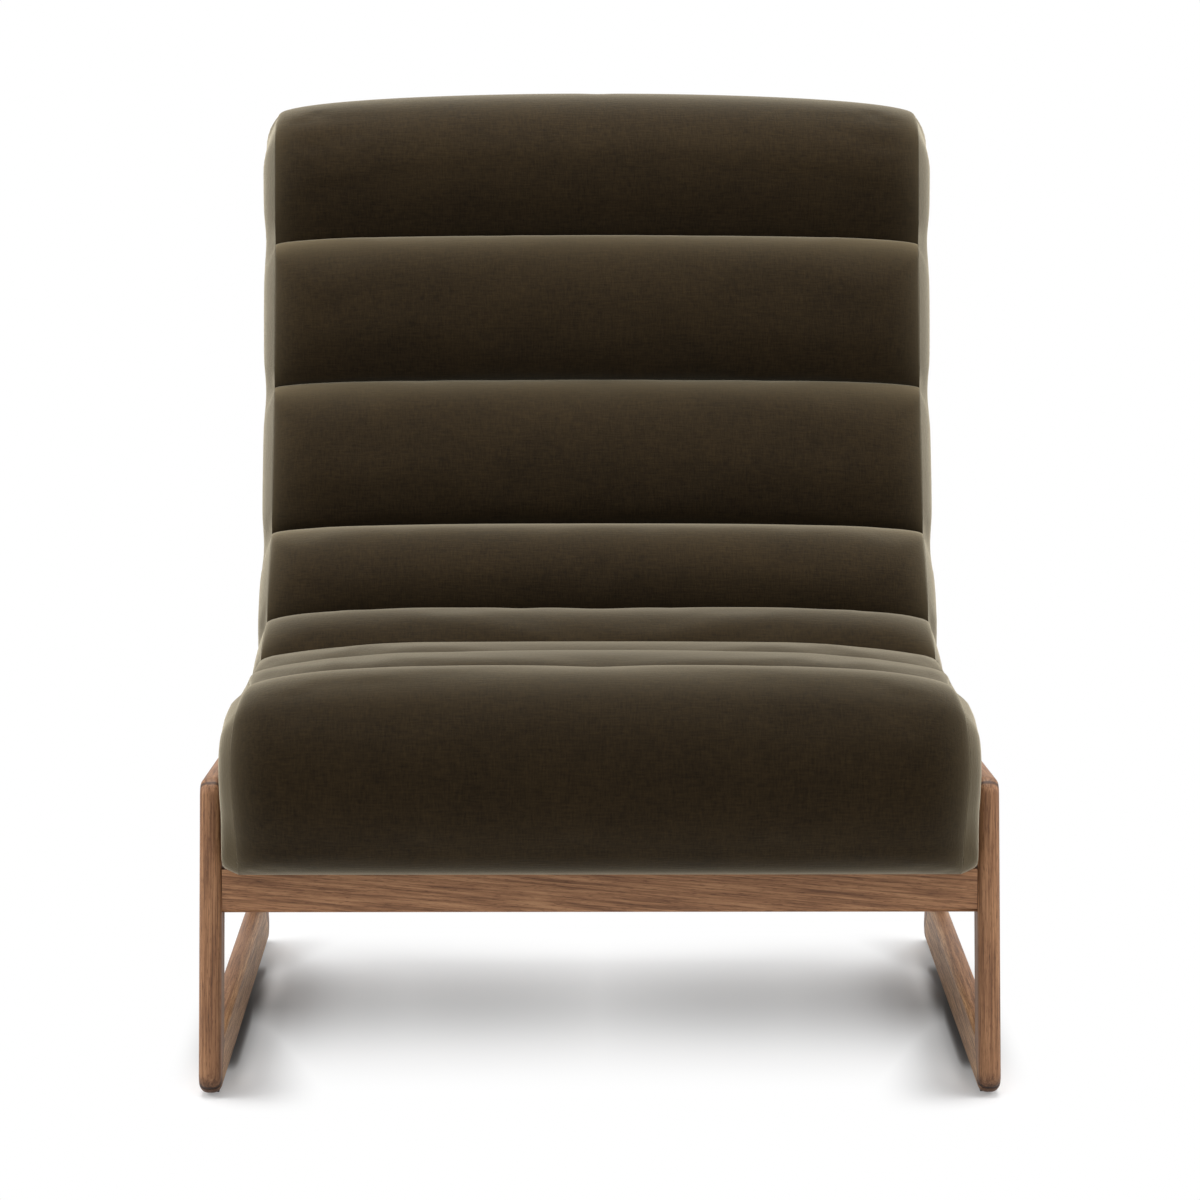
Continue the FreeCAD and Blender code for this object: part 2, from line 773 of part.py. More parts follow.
def make_stretchers(holes):
    """Boards between the cheeks: at the nose, under the seat, in the bend and the back."""
    depth = size("shell_depth") - TIMBER_REAR - TIMBER_TOP
    depth_text = (
        "Sizes.shell_depth - Sizes.back_board - Sizes.roll_depth - Sizes.foam_thickness"
        " - Sizes.webbing_thickness - 3 * Sizes.clearance"
    )
    low = -(size("shell_depth") - TIMBER_REAR)
    front = cross_board(
        "front_stretcher",
        profile(FRONT_S, 0),
        SEAT_HEADING,
        0,
        "board_thickness",
        low,
        depth,
        depth_text,
    )
    keep(front, "front_stretcher")
    top_at = reach_height(TIMBER_TOP, INNER_TOP)
    top_at -= size("board_thickness") + size("top_bearer_inset")
    places = {
        "seat_rear_stretcher": (size("seat_rear_bearer_at"), "seat_bearer_depth"),
        "bend_stretcher": (size("bend_bearer_at"), "back_bearer_depth"),
        "lumbar_stretcher": (size("lumbar_bearer_at"), "back_bearer_depth"),
        "mid_back_stretcher": (size("mid_back_bearer_at"), "back_bearer_depth"),
        "top_stretcher": (top_at, "back_bearer_depth"),
    }
    for name, (s, alias) in places.items():
        low = -TIMBER_TOP - size(alias)
        board = cross_board(
            name, profile(s, 0), heading(s), 0, "board_thickness", low, size(alias), cell(alias)
        )
        keep(board, name)
    wide = size("rail_bearer_width")
    for name, place, turn in (
        ("front_rail_bearer", FRONT_FRAME, SEAT_HEADING),
        ("rear_rail_bearer", REAR_FRAME, size("rear_rail_angle")),
    ):
        middle = place.multVec(V(0, size("rail_thickness") / 2, 0))
        start = -wide / 2
        if name == "front_rail_bearer":
            nose = profile(FRONT_S, 0) + turned(SEAT_HEADING, size("board_thickness"))
            start = max(start, (nose - middle).dot(turned(SEAT_HEADING)))
        blank = cross_board(
            f"{name}_blank",
            middle,
            turn,
            start,
            "rail_bearer_width",
            BEARER_LOW,
            size("rail_bearer_depth"),
            cell("rail_bearer_depth"),
        )
        if name == "rear_rail_bearer":
            face = Part.Face(closed(rear_room()))
            room = doc.addObject("Part::Common", f"{name}_shaped")
            room.Base = blank
            face.translate(V(-CHEEK_INNER - 1, 0, 0))
            room.Tool = tool("rear_bearer_room", [face.extrude(V(2 * CHEEK_INNER + 2, 0, 0))])
            doc.recompute()
            blank = room
        keep(cut(name, blank, holes), name)


def rear_room():
    """Side outline of the hollow between the cheeks' edges."""
    inner = inner_path(TIMBER_TOP, FRONT_S, reach_height(TIMBER_TOP, INNER_TOP))
    return inner + outer_path(TIMBER_REAR, INNER_TOP, FRONT_S)


def make_corner_blocks():
    """Three-cornered glue blocks behind the front stretcher and before the seat's rear one."""
    leg, tall = size("corner_block_leg"), size("corner_block_height")
    corners = [V(0, 0, 0), V(leg, 0, 0), V(0, leg, 0), V(0, 0, 0)]
    prism = Part.Face(Part.makePolygon(corners)).extrude(V(0, 0, tall))
    blocks = []
    low = -TIMBER_TOP - tall
    front = frame_at(profile(FRONT_S, 0), SEAT_HEADING)
    rear = frame_at(profile(size("seat_rear_bearer_at"), 0), SEAT_HEADING)
    for place, start, faces_front in ((front, size("board_thickness"), False), (rear, 0, True)):
        for sign in (1, -1):
            block = prism.copy()
            if faces_front:
                block = block.mirror(V(0, 0, 0), V(0, 1, 0))
            if sign > 0:
                block = block.mirror(V(0, 0, 0), V(1, 0, 0))
            block.translate(V(sign * CHEEK_INNER, start, low))
            block.Placement = place.multiply(block.Placement)
            blocks.append(block)
    keep(shaped("corner_blocks", Part.makeCompound(blocks)), "corner_blocks")


SEAT_BANDS = 7
BACK_BANDS = 9


def make_webbing():
    """Elastic bands: front to back under the seat, side to side in the bend and back."""
    wide, thick = size("webbing_width"), size("webbing_thickness")
    rear_edge = size("seat_rear_bearer_at") + size("board_thickness")
    span = 2 * (CHEEK_INNER - size("seat_web_margin"))
    bands = []
    for number in range(SEAT_BANDS):
        x = -span / 2 + (span - wide) * number / (SEAT_BANDS - 1)
        band = Part.makeBox(wide, rear_edge - FRONT_S, thick, V(x, 0, -WEB_LOW))
        band.Placement = frame_at(profile(FRONT_S, 0), SEAT_HEADING)
        bands.append(band)
    keep(shaped("seat_webbing", Part.makeCompound(bands)), "seat_webbing")
    start = size("first_back_web")
    end = reach_height(TIMBER_TOP, INNER_TOP) - wide
    bands = []
    for number in range(BACK_BANDS):
        s = start + (end - start) * number / (BACK_BANDS - 1)
        bands.append(inner_band(s, s + wide))
    keep(shaped("back_webbing", Part.makeCompound(bands)), "back_webbing")


def arc_between(depth, first, last):
    """The stretch of the profile at one depth, as one arc or a straight line."""
    a, b = profile(first, depth), profile(last, depth)
    middle = profile((first + last) / 2, depth)
    chord = (b - a).normalize()
    if (middle - a).cross(chord).Length < 1e-4:
        return Part.LineSegment(a, b).toShape()
    return Part.Arc(a, middle, b).toShape()


def inner_band(first, last):
    """One band across the shell, bent to the profile."""
    top = arc_between(WEB_TOP, first, last)
    low = arc_between(WEB_LOW, last, first)
    return slab([top, low], SOFT_HALF)


def make_foam():
    """The foam layer under the channels, one piece from nose to top."""
    top = inner_path(FOAM_TOP, FRONT_S, reach_height(FOAM_TOP, INNER_TOP))
    low = inner_path(FOAM_LOW, FRONT_S, reach_height(FOAM_LOW, INNER_TOP))
    backwards = [reversed_edge(edge) for edge in reversed(low)]
    keep(shaped("base_foam", slab(top + backwards, SOFT_HALF)), "base_foam")


def reversed_edge(edge):
    a, b = first_point(edge), last_point(edge)
    middle = edge.valueAt((edge.FirstParameter + edge.LastParameter) / 2)
    if (middle - a).cross((b - a).normalize()).Length < 1e-6:
        return Part.LineSegment(b, a).toShape()
    return Part.Arc(b, middle, a).toShape()


# Channels: each a crowned roll whose crown falls away towards its ends

VALLEYS = [0.0]
for channel in (7, 6, 5, 4, 3, 2):
    VALLEYS.append(VALLEYS[-1] + size(f"channel_{channel}_pitch"))
CROWNS = {7: "seat_front_crown", 6: "seat_rear_crown", 5: "bend_crown", 4: "bend_crown"}
END_CROWN = size("end_crown_ratio")
FULL_AT = size("full_crown_ratio")
STATIONS = [(-1.0, END_CROWN), (-FULL_AT, 1.0), (FULL_AT, 1.0), (1.0, END_CROWN)]


def arc(a, b, c):
    return Part.Arc(a, b, c).toShape()


def line(a, b):
    return Part.LineSegment(a, b).toShape()


def crown_arc(channel, start, end, crown, inset=0.0):
    """Arc over one channel, from valley to valley."""
    a, b = profile(start, inset), profile(end, inset)
    height = size(CROWNS.get(channel, "back_crown")) * crown
    out = turned(math.degrees(math.atan2((b - a).z, (b - a).y)) + 90, height)
    return arc(a, (a + b) / 2 + out, b)


def roll_outline(channel, crown):
    """Side outline of a middle channel: crown arc, two seam faces, base along the foam."""
    start = VALLEYS[7 - channel] + GAP / 2
    end = VALLEYS[8 - channel] - GAP / 2
    a, b = profile(start, 0), profile(end, 0)
    deep = size("roll_depth")
    base_a, base_b = profile(start, deep), profile(end, deep)
    base_middle = profile((start + end) / 2, deep)
    chord = (base_b - base_a).normalize()
    if (base_middle - base_a).cross(chord).Length < 1e-4:
        base = line(base_b, base_a)
    else:
        base = arc(base_b, base_middle, base_a)
    return [crown_arc(channel, start, end, crown), line(b, base_b), base, line(base_a, a)]


def about(centre, dy, dz, scale_y=1.0, scale_z=1.0):
    return centre + V(0, dy * scale_y, dz * scale_z)


def front_roll_points(crown, inset=0.0):
    """Points round the front roll, from the first valley over the nose to the underside."""
    fallen = (1 - crown) / (1 - END_CROWN)
    up, out, down = (
        size(f"front_roll_{way}") * (1 - size(f"front_roll_{way}_draw_ratio") * fallen) - inset
        for way in ("rise", "reach", "drop")
    )
    centre = side(size("front_roll_y"), size("front_roll_z"))
    return [
        about(centre, 0.14 * out, up),
        about(centre, -0.64 * out, 0.77 * up),
        about(centre, -out, 0.04 * up),
        about(centre, -0.73 * out, -0.68 * down),
        about(centre, -0.45 * out, -0.93 * down),
    ]


def front_roll_arcs(crown, inset=0.0):
    first = profile(-GAP / 2, inset)
    under = underside(FRONT_S - GAP, inset)
    p = front_roll_points(crown, inset)
    return [arc(first, p[0], p[1]), arc(p[1], p[2], p[3]), arc(p[3], p[4], under)]


def top_roll_points(crown, inset=0.0):
    """Points round the top roll, from the last valley over the top to the rear face."""
    half = size("top_roll_half") - inset
    rise = size("top_roll_rise") * (1 - size("top_roll_draw_ratio") * (1 - crown)) - inset
    bulge = size("back_crown") * crown
    centre = side(size("top_roll_y"), INNER_TOP)
    low = profile(VALLEYS[6] + GAP / 2, inset)
    shoulder = about(centre, -0.8 * half, 0.58 * rise)
    rear = rear_top(inset, INNER_TOP + 0.12 * rise)
    return [
        low,
        (low + shoulder) / 2 + turned(size("back_end_angle") + 90, bulge),
        shoulder,
        about(centre, -0.04 * half, rise),
        about(centre, 0.8 * half, 0.56 * rise),
        rear,
    ]


def top_roll_arcs(crown, inset=0.0):
    p = top_roll_points(crown, inset)
    return [arc(p[0], p[1], p[2]), arc(p[2], p[3], p[4]), line(p[4], p[5])]


def front_roll_outline(crown):
    """The front roll and its thick nose, down to the inner frame's front face."""
    arcs = front_roll_arcs(crown)
    nose = profile(FRONT_S - GAP, size("roll_depth"))
    base = profile(-GAP / 2, size("roll_depth"))
    return arcs + [
        line(last_point(arcs[-1]), nose),
        line(nose, base),
        line(base, first_point(arcs[0])),
    ]


def top_roll_outline(crown):
    """The top roll: down the front to its valley and over the frame to the rear face."""
    arcs = top_roll_arcs(crown)
    rear = last_point(arcs[-1])
    shelf = rear_top(0, INNER_TOP + GAP)
    deep = size("roll_depth")
    inner = profile(reach_height(deep, INNER_TOP + GAP), deep)
    base = profile(VALLEYS[6] + GAP / 2, deep)
    return arcs + [
        line(rear, shelf),
        line(shelf, inner),
        line(inner, base),
        line(base, first_point(arcs[0])),
    ]


def lofted(outline, stations, half):
    """Solid through side outlines at fractions of the half width."""
    wires = []
    for fraction, crown in stations:
        wire = Part.Wire(outline(crown))
        wire.translate(V(fraction * half, 0, 0))
        wires.append(wire)
    return Part.makeLoft(wires, True, True)


def make_channels():
    keep(
        shaped("channel_1_top", lofted(top_roll_outline, STATIONS, SOFT_HALF)), "channel_1_top"
    )
    for channel in range(2, 8):
        shape = lofted(
            lambda crown, n=channel: roll_outline(n, crown), STATIONS, SOFT_HALF
        )
        name = f"channel_{channel}"
        keep(shaped(name, shape), name)
    keep(
        shaped("channel_8_front", lofted(front_roll_outline, STATIONS, SOFT_HALF)),
        "channel_8_front",
    )


# Side pads: the seam outline of the shell, swelling outwards and drawn in at its edge


def seam_outline(inset):
    nose = [reversed_edge(edge) for edge in reversed(front_roll_arcs(END_CROWN, inset))]
    along = []
    for number, channel in enumerate((7, 6, 5, 4, 3, 2)):
        start = VALLEYS[number] if number else -GAP / 2
        end = VALLEYS[number + 1] if number < 5 else VALLEYS[6] + GAP / 2
        along.append(crown_arc(channel, start, end, END_CROWN, inset))
    top = top_roll_arcs(END_CROWN, inset)
    down = outer_path(inset, INNER_TOP, FRONT_S - GAP)
    rear = last_point(top[-1])
    foot = rear_point(inset, size("rear_face_angle"))
    down[0] = line(rear, foot)
    return nose + along + top + down


def make_side_pads():
    wires = []
    for out, inset in ((0, 0), (size("side_bulge"), size("pad_edge"))):
        wire = closed(seam_outline(inset))
        wire.translate(V(SEAM_HALF + out, 0, 0))
        wires.append(wire)
    pad_shape = Part.makeLoft(wires, True, True)
    keep(shaped("right_side_pad", pad_shape), "right_side_pad")
    keep(shaped("left_side_pad", mirrored(pad_shape)), "left_side_pad")


def make_backs(holes):
    """A bent board over the rear face and heel, and a flat one under the seat."""
    outer = outer_path(0, INNER_TOP, FRONT_S)[:2]
    inner = outer_path(size("back_board"), INNER_TOP, FRONT_S)[:2]
    backwards = [reversed_edge(edge) for edge in reversed(inner)]
    board = shaped("outer_back_blank", slab(outer + backwards, SOFT_HALF))
    keep(cut("outer_back_panel", board, holes), "outer_back_panel")
    panel = doc.addObject("Part::Box", "bottom_panel_blank")
    panel.Length = 2 * SOFT_HALF
    panel.setExpression("Length", f"2 * {SOFT_HALF_TEXT}")
    panel.Width = BEND_START - FRONT_S - GAP
    panel.setExpression(
        "Width", "Sizes.seat_straight + Sizes.frame_front_reach - Sizes.clearance"
    )
    panel.Height = size("back_board")
    panel.setExpression("Height", cell("back_board"))
    panel.Placement = frame_at(underside(FRONT_S, 0), SEAT_HEADING, -SOFT_HALF)
    keep(cut("bottom_panel", panel, holes), "bottom_panel")


make_side_frames()
fixing_room = make_cross_rails()
make_cheeks()
make_stretchers(fixing_room)
make_corner_blocks()
make_webbing()
make_foam()
make_channels()
make_side_pads()
make_backs(fixing_room)
doc.recompute()

for item in doc.Objects:
    if any(word in ("Invalid", "Error") for word in item.State):
        raise ValueError(f"{item.Label} failed: {item.State}")

whole = FreeCAD.BoundBox()
for piece in nodes:
    shape = piece.Shape
    if shape.isNull() or not shape.isValid() or shape.Volume <= 0:
        raise ValueError(f"{piece.Label} has no sound solid")
    whole.add(shape.BoundBox)
    shape.exportStep(os.path.join("parts", f"{piece.Label}.step"))
print("pieces", len(nodes))
print("box", whole)
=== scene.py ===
import math

import bmesh
import bpy
import numpy as np
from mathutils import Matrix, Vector


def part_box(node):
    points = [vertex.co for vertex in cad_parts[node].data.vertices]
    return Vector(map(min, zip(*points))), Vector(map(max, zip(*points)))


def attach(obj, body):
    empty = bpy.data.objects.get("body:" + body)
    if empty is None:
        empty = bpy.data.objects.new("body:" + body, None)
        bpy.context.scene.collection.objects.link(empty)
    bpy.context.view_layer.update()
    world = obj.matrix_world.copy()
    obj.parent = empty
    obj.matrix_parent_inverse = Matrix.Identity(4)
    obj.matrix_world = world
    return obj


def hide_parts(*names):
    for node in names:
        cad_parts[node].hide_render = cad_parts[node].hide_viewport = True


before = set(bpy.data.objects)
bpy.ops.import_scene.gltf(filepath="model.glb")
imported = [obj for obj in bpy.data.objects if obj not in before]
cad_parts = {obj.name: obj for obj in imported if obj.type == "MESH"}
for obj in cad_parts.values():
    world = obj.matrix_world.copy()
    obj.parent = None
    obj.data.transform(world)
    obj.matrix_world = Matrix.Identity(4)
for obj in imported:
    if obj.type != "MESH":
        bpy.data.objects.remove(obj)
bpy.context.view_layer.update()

# Sizes are in metres and headings are written in degrees. The side view's axes are y,
# from the front to the rear, and z, up from the floor.

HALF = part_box("channel_2")[1].x

# Profile of the sewn valleys: straight seat, bend, slow arc of the back, straight top.
# The shell's depth is measured square to it, and its rear face is straight down from a shelf
FIRST_VALLEY = (-0.287, 0.385)
SEAT_HEADING = math.radians(-3.5)
SEAT_LENGTH = 0.274
BEND_RADIUS = 0.215
BEND_HEADING = math.radians(61)
BACK_RADIUS = 0.850
BACK_HEADING = math.radians(80)
SHELL_DEPTH = 0.174
REAR_HEADING = math.radians(82)
NOSE_REACH = 0.068
SHELF_Z = 0.858
ROLL_DEPTH = 0.012

BEND_LENGTH = BEND_RADIUS * (BEND_HEADING - SEAT_HEADING)
BACK_LENGTH = BACK_RADIUS * (BACK_HEADING - BEND_HEADING)
BACK_START = SEAT_LENGTH + BEND_LENGTH
TOP_START = BACK_START + BACK_LENGTH

# Channels from the seat's front to the back's top: number, pitch, crown, crown's
# share left at the ends, and how suddenly it falls there; then how far each valley dips
# along the profile and sinks below it at its ends
CHANNELS = [
    (7, 0.140, 0.027, 0.03, 2.4),
    (6, 0.138, 0.024, 0.03, 3.2),
    (5, 0.112, 0.029, 0.40, 5.0),
    (4, 0.126, 0.040, 0.45, 3.2),
    (3, 0.162, 0.037, 0.40, 3.5),
    (2, 0.155, 0.037, 0.40, 3.5),
]
VALLEYS = np.concatenate([[0.0], np.cumsum([channel[1] for channel in CHANNELS])])
SEAM_DIPS = np.array([0.002, 0.002, 0.004, 0.009, 0.009, 0.008, 0.010])
SEAM_DROPS = np.array([0.005, 0.004, 0.001, 0.0, 0.0, 0.0, 0.0])
TOP_END_CROWN = 0.45
CROWN_POWER = 0.57

# Front roll: centre, reach upwards, forwards and downwards, and how far each is drawn in
# at the ends
ROLL_CENTRE = (-0.360, 0.318)
ROLL_RISE, ROLL_REACH, ROLL_DROP = 0.093, 0.069, 0.102
ROLL_DRAWS = (0.31, 0.06, 0.03)
ROLL_CORNER, ROLL_CORNER_POWER = 0.018, 14
# Its points from the top to the underside, as shares of the reach and of the rise or drop
ROLL_POINTS = [(0.14, 1.0), (-0.64, 0.77), (-1.0, 0.04), (-0.73, -0.68), (-0.45, -0.93)]

# Top roll: centre, rise, half depth, swell of its front, bulge of its rear, and its
# shoulder, crest and rear as shares of the half depth and the rise
TOP_CENTRE = (0.358, SHELF_Z)
TOP_RISE, TOP_HALF = 0.067, 0.082
TOP_DRAW = 0.62
TOP_SWELL, TOP_BULGE = 0.023, 0.004
TOP_POINTS = [(-0.8, 0.58), (-0.04, 1.0), (0.74, 0.62)]

# Side pads: bulge at places along the profile, from the nose to the crest of the top
BULGE_PLACES = (-0.12, -0.05, 0.0, 0.10, 0.28, 0.42, 0.66, 0.83, 1.0)
BULGES = (0.0165, 0.0150, 0.0110, 0.0120, 0.0140, 0.0135, 0.0145, 0.0155, 0.0165)
# Width of the rise from each border, and where one width gives way to the next: start and
# span, in height at the nose and the rear, in depth along the channels' seam
NOSE_EDGE, BACK_EDGE, UNDER_EDGE, REAR_EDGE = 0.034, 0.060, 0.009, 0.026
NOSE_BLEND, REAR_BLEND, SEAM_BLEND = (0.225, 0.05), (0.25, 0.2), (-0.25, 0.2)
NOSE_BORDER_END = -0.3
# Pinch at each valley: share of the bulge, width at the valley, how it widens with depth
# down to a limit, and how deep it reaches
PINCH, PINCH_WIDTH, PINCH_SPREAD = 0.36, 0.010, 0.18
PINCH_LIMIT, PINCH_REACH = 0.1, 0.05
# Least thickness, rows across the side, columns between the profile's key places, and how
# far below two valleys their columns meet the rear face
PAD_WALL = 0.0003
PAD_ROWS = 41
COLUMNS = (22, 46, 46, 40, 34, 26)
COLUMN_DROPS = (0.02, 0.01)
# Arc lengths, and a depth, at which the profile is compared with a point
PROFILE_PLACES, PROFILE_DEPTH = np.linspace(-0.1, 1.0, 221), 0.05

# The side seam is drawn in at the seat's front corner and bows out below it: depth,
# place in side view, spread
CORNER = (0.010, (-0.300, 0.410), 0.060)
CORNER_FADE = 0.012
BOW = (-0.005, (-0.420, 0.335), 0.050)

# Outer back: thickness, crown and how far it laps over the side seams
BACK_THICK, BACK_CROWN, BACK_LAP = 0.004, 0.003, 0.0008

# Points over a channel, and places across the width from -1 to 1, denser at the ends
ROUND = 29
STATIONS = np.sin(np.linspace(-np.pi / 2, np.pi / 2, 161))

# Painted sheen, a paler colour mixed into the velvet as a painted highlight: how far it fades
# from a seam, and its share at the channels' ends, on the side pads and on their nose ahead of a
# depth
SEAM_SHEEN = {
    "channel_2": 0.014,
    "channel_3": 0.015,
    "channel_4": 0.018,
    "channel_5": 0.016,
    "channel_6": 0.030,
    "channel_7": 0.030,
    "channel_8_front": 0.034,
}
NO_SEAM_SHEEN = 1e-4
END_SHEEN, END_SHEEN_WIDTH = 0.20, 0.012
PAD_SHEEN, NOSE_SHEEN = 0.10, 0.22
NOSE_SHEEN_END, NOSE_SHEEN_FADE = -0.300, 0.08

# Cloth: rows across and columns round each cover, frames, steps in each, pressure, shrink
# and stiffness, and the most that a point may move
SHEET_ROWS, SHEET_COLUMNS = 109, 27
CLOTH_FRAMES = 20
CLOTH_QUALITY = 6
CLOTH_PRESSURE = 1.0
CLOTH_SHRINK = -0.004
CLOTH_BENDING = 2.0
CLOTH_REACH = 0.0010
SHEET_U = np.linspace(-1, 1, SHEET_ROWS)
SHEET_V = np.linspace(0, 1, SHEET_COLUMNS)

# Velvet's noises, as scale, detail and roughness: rows and ribs of the pile, and clouds
PILE_ROWS, PILE_RIBS = (560, 3.0, 0.65), (640, 3.0, 0.65)
PILE_CLOUDS = (14, 3.0, 0.6)
PILE_STRENGTH, CLOUD_STRENGTH = 0.42, 0.20
# Its colours as sRGB: in its hollows, on its ridges, the painted sheen, and the shader's own
# sheen
VELVET_LOW, VELVET_HIGH = (18, 12, 6), (43, 33, 18)
VELVET_PAINTED_SHEEN = (112, 100, 78)
VELVET_SHEEN = (226, 216, 192)

# Timber's noises: broad bend of the grain and how far it pushes, rings, lines and pores
GRAIN_BEND, GRAIN_PUSH = (9, 2.0), 0.012
GRAIN_RINGS, GRAIN_LINES, GRAIN_PORES = (380, 1.0), (760, 4.0, 0.8), (1300, 2.0, 0.6)
RING_STRENGTH, LINE_STRENGTH = 0.4, 0.6
# How far lines and pores are drawn out on the side frames and on the cross rails, whose
# grain slopes a little
FRAME_GRAIN, RAIL_GRAIN = (40, 14), (36, 14)
RAIL_SLOPE = 5
# Shades along the grain, colour of the pores, painted shade at the feet, painted light on the
# runners' inner faces and dark lines along the mitres, with the steps where each one fades in
ASH_SHADES = [(0.36, (106, 70, 44)), (0.50, (146, 103, 70)), (0.64, (172, 128, 91))]
ASH_PORES = (0.52, 0.46, 0.42, 1)
FOOT_HEIGHT = (0.026, 0.008)
FOOT_DEPTH = (0.325, 0.350)
PAINTED_FOOT_SHADE = (0.40, 0.38, 0.40, 1)
PAINTED_LIGHT_FADE = (0.007, 0.001)
PAINTED_LIGHT_TINT = (1.80, 2.05, 2.10, 1)
# Mitres of the side frames in side view: outer corner and heading
MITRES = {
    "front_top": (-0.3115, 0.2980, math.radians(-52.2)),
    "front_foot": (-0.3690, 0.0020, math.radians(39.5)),
    "rear_foot": (0.3860, 0.0020, math.radians(148.5)),
    "rear_top": (0.2522, 0.2645, math.radians(56.8)),
}
MITRE_LINE = (0.0028, 0.0008)
MITRE_TINT = (0.30, 0.27, 0.25, 1)

# Floor's shade: smooth steps up and down over |x| and y. Under the seat and beside the runners it
# keeps the real shade; close along them it keeps it and adds painted shadow, and near them inside
# it adds painted shadow; there it slants inwards behind a start
UNDER_X, UNDER_Y = (0.405, 0.368), ((-0.34, 0.08), (0.44, 0.10))
BESIDE_X, BESIDE_Y = ((0.26, 0.35), (0.42, 0.37)), ((-0.44, -0.36), (0.48, 0.36))
CLOSE_X, CLOSE_Y = ((0.334, 0.357), (0.378, 0.364)), ((-0.38, -0.20), (0.36, 0.20))
NEAR_X, NEAR_Y = (0.265, 0.36), ((-0.36, -0.12), (0.40, 0.02))
NEAR_POWER, NEAR_START, NEAR_SLANT = 2.8, 0.04, 0.25
BESIDE_SHADE, NEAR_SHADE, CLOSE_SHADE = 0.8, 0.50, 0.45
# Painted light: emission given back to the shade, which falls with |x|
LIFT, LIFT_FALL, LIFT_LEAST = 0.42, 1.15, 0.06
FLOOR_PALE = (0.86, 0.86, 0.86, 1)
FLOOR_SIZE = 60.0

# Studio: light of the world, aim and lamps as place, width, height and power
WORLD_LIGHT = 0.36
AIM = Vector((0, 0, 0.45))
LAMPS = {
    "overhead_lamp": ((0, 0.1, 2.9), 2.6, 1.8, 110),
    "front_lamp": ((0, -3.4, 2.4), 2.4, 1.6, 23),
    "left_lamp": ((-2.8, -0.4, 2.1), 2.0, 1.6, 46),
    "right_lamp": ((2.8, -0.4, 2.1), 2.0, 1.6, 40),
}
CAMERA_PLACE = (-0.022, -4.8518, 1.077)
CAMERA_TURN = (math.radians(90 - 7.63), 0, math.radians(-0.281))
CAMERA_LENS = 145.5


# Side view geometry, worked out on whole arrays


def turned(angle, length=1.0):
    """Vector of the side view: (cos, sin) of the angle, times the length."""
    return np.stack([np.cos(angle) * length, np.sin(angle) * length], axis=-1)


def heading(s):
    """Direction of the valley profile at arc length s: each arc adds s over its radius."""
    bend = np.clip(s - SEAT_LENGTH, 0, BEND_LENGTH) / BEND_RADIUS
    back = np.clip(s - BACK_START, 0, BACK_LENGTH) / BACK_RADIUS
    return SEAT_HEADING + bend + back


def shell(s, depth=0.0):
    """Point on the valley profile at arc length s, sunk by depth along its normal.

    A straight adds its length along the heading. An arc of radius R from heading a to
    heading b adds R (sin b - sin a) to y and R (cos a - cos b) to z.
    """
    s = np.asarray(s, float)
    bend = SEAT_HEADING + np.clip(s - SEAT_LENGTH, 0, BEND_LENGTH) / BEND_RADIUS
    back = BEND_HEADING + np.clip(s - BACK_START, 0, BACK_LENGTH) / BACK_RADIUS
    seat = np.minimum(s, SEAT_LENGTH)
    rest = np.maximum(s - TOP_START, 0)
    y = (
        FIRST_VALLEY[0]
        + seat * math.cos(SEAT_HEADING)
        + BEND_RADIUS * (np.sin(bend) - math.sin(SEAT_HEADING))
        + BACK_RADIUS * (np.sin(back) - math.sin(BEND_HEADING))
        + rest * math.cos(BACK_HEADING)
    )
    z = (
        FIRST_VALLEY[1]
        + seat * math.sin(SEAT_HEADING)
        - BEND_RADIUS * (np.cos(bend) - math.cos(SEAT_HEADING))
        - BACK_RADIUS * (np.cos(back) - math.cos(BEND_HEADING))
        + rest * math.sin(BACK_HEADING)
    )
    turn = heading(s)
    return np.stack([y + depth * np.sin(turn), z - depth * np.cos(turn)], axis=-1)


BEND_CENTRE = shell(SEAT_LENGTH) + turned(SEAT_HEADING + math.pi / 2, BEND_RADIUS)


def heel(turn, inset=0.0):
    """Point on the round heel: a circle about the bend's centre."""
    return BEND_CENTRE - turned(turn + math.pi / 2, BEND_RADIUS + SHELL_DEPTH - inset)


def rear_face(z, inset=0.0):
    """Point on the straight rear face at a height."""
    foot = heel(REAR_HEADING, inset)
    return foot + turned(REAR_HEADING, (z - foot[1]) / math.sin(REAR_HEADING))


def arc_through(a, middle, b, count):
    """Points of the circle through a, middle and b, for arrays of such triples.

    The centre solves the two equations of equal distance, and the angle runs from a
    over middle to b.
    """
    a, middle, b = np.broadcast_arrays(a, middle, b)
    p, q = middle - a, b - a
    area = 2 * (p[..., 0] * q[..., 1] - p[..., 1] * q[..., 0])
    pp, qq = (p**2).sum(-1), (q**2).sum(-1)
    centre = a + np.stack(
        [
            (q[..., 1] * pp - p[..., 1] * qq) / area,
            (p[..., 0] * qq - q[..., 0] * pp) / area,
        ],
        axis=-1,
    )
    first, last = a - centre, b - centre
    start = np.arctan2(first[..., 1], first[..., 0])
    sweep = np.arctan2(last[..., 1], last[..., 0]) - start
    clockwise = area < 0
    sweep = np.where(clockwise, -np.mod(-sweep, 2 * np.pi), np.mod(sweep, 2 * np.pi))
    angle = start[..., None] + sweep[..., None] * np.linspace(0, 1, count)
    radius = np.sqrt((first**2).sum(-1))[..., None]
    return centre[..., None, :] + turned(angle) * radius[..., None]


def straight(a, b, count):
    """Evenly spaced points from a to b, for arrays of such pairs."""
    a, b = np.broadcast_arrays(a, b)
    t = np.linspace(0, 1, count)[:, None]
    return a[..., None, :] * (1 - t) + b[..., None, :] * t


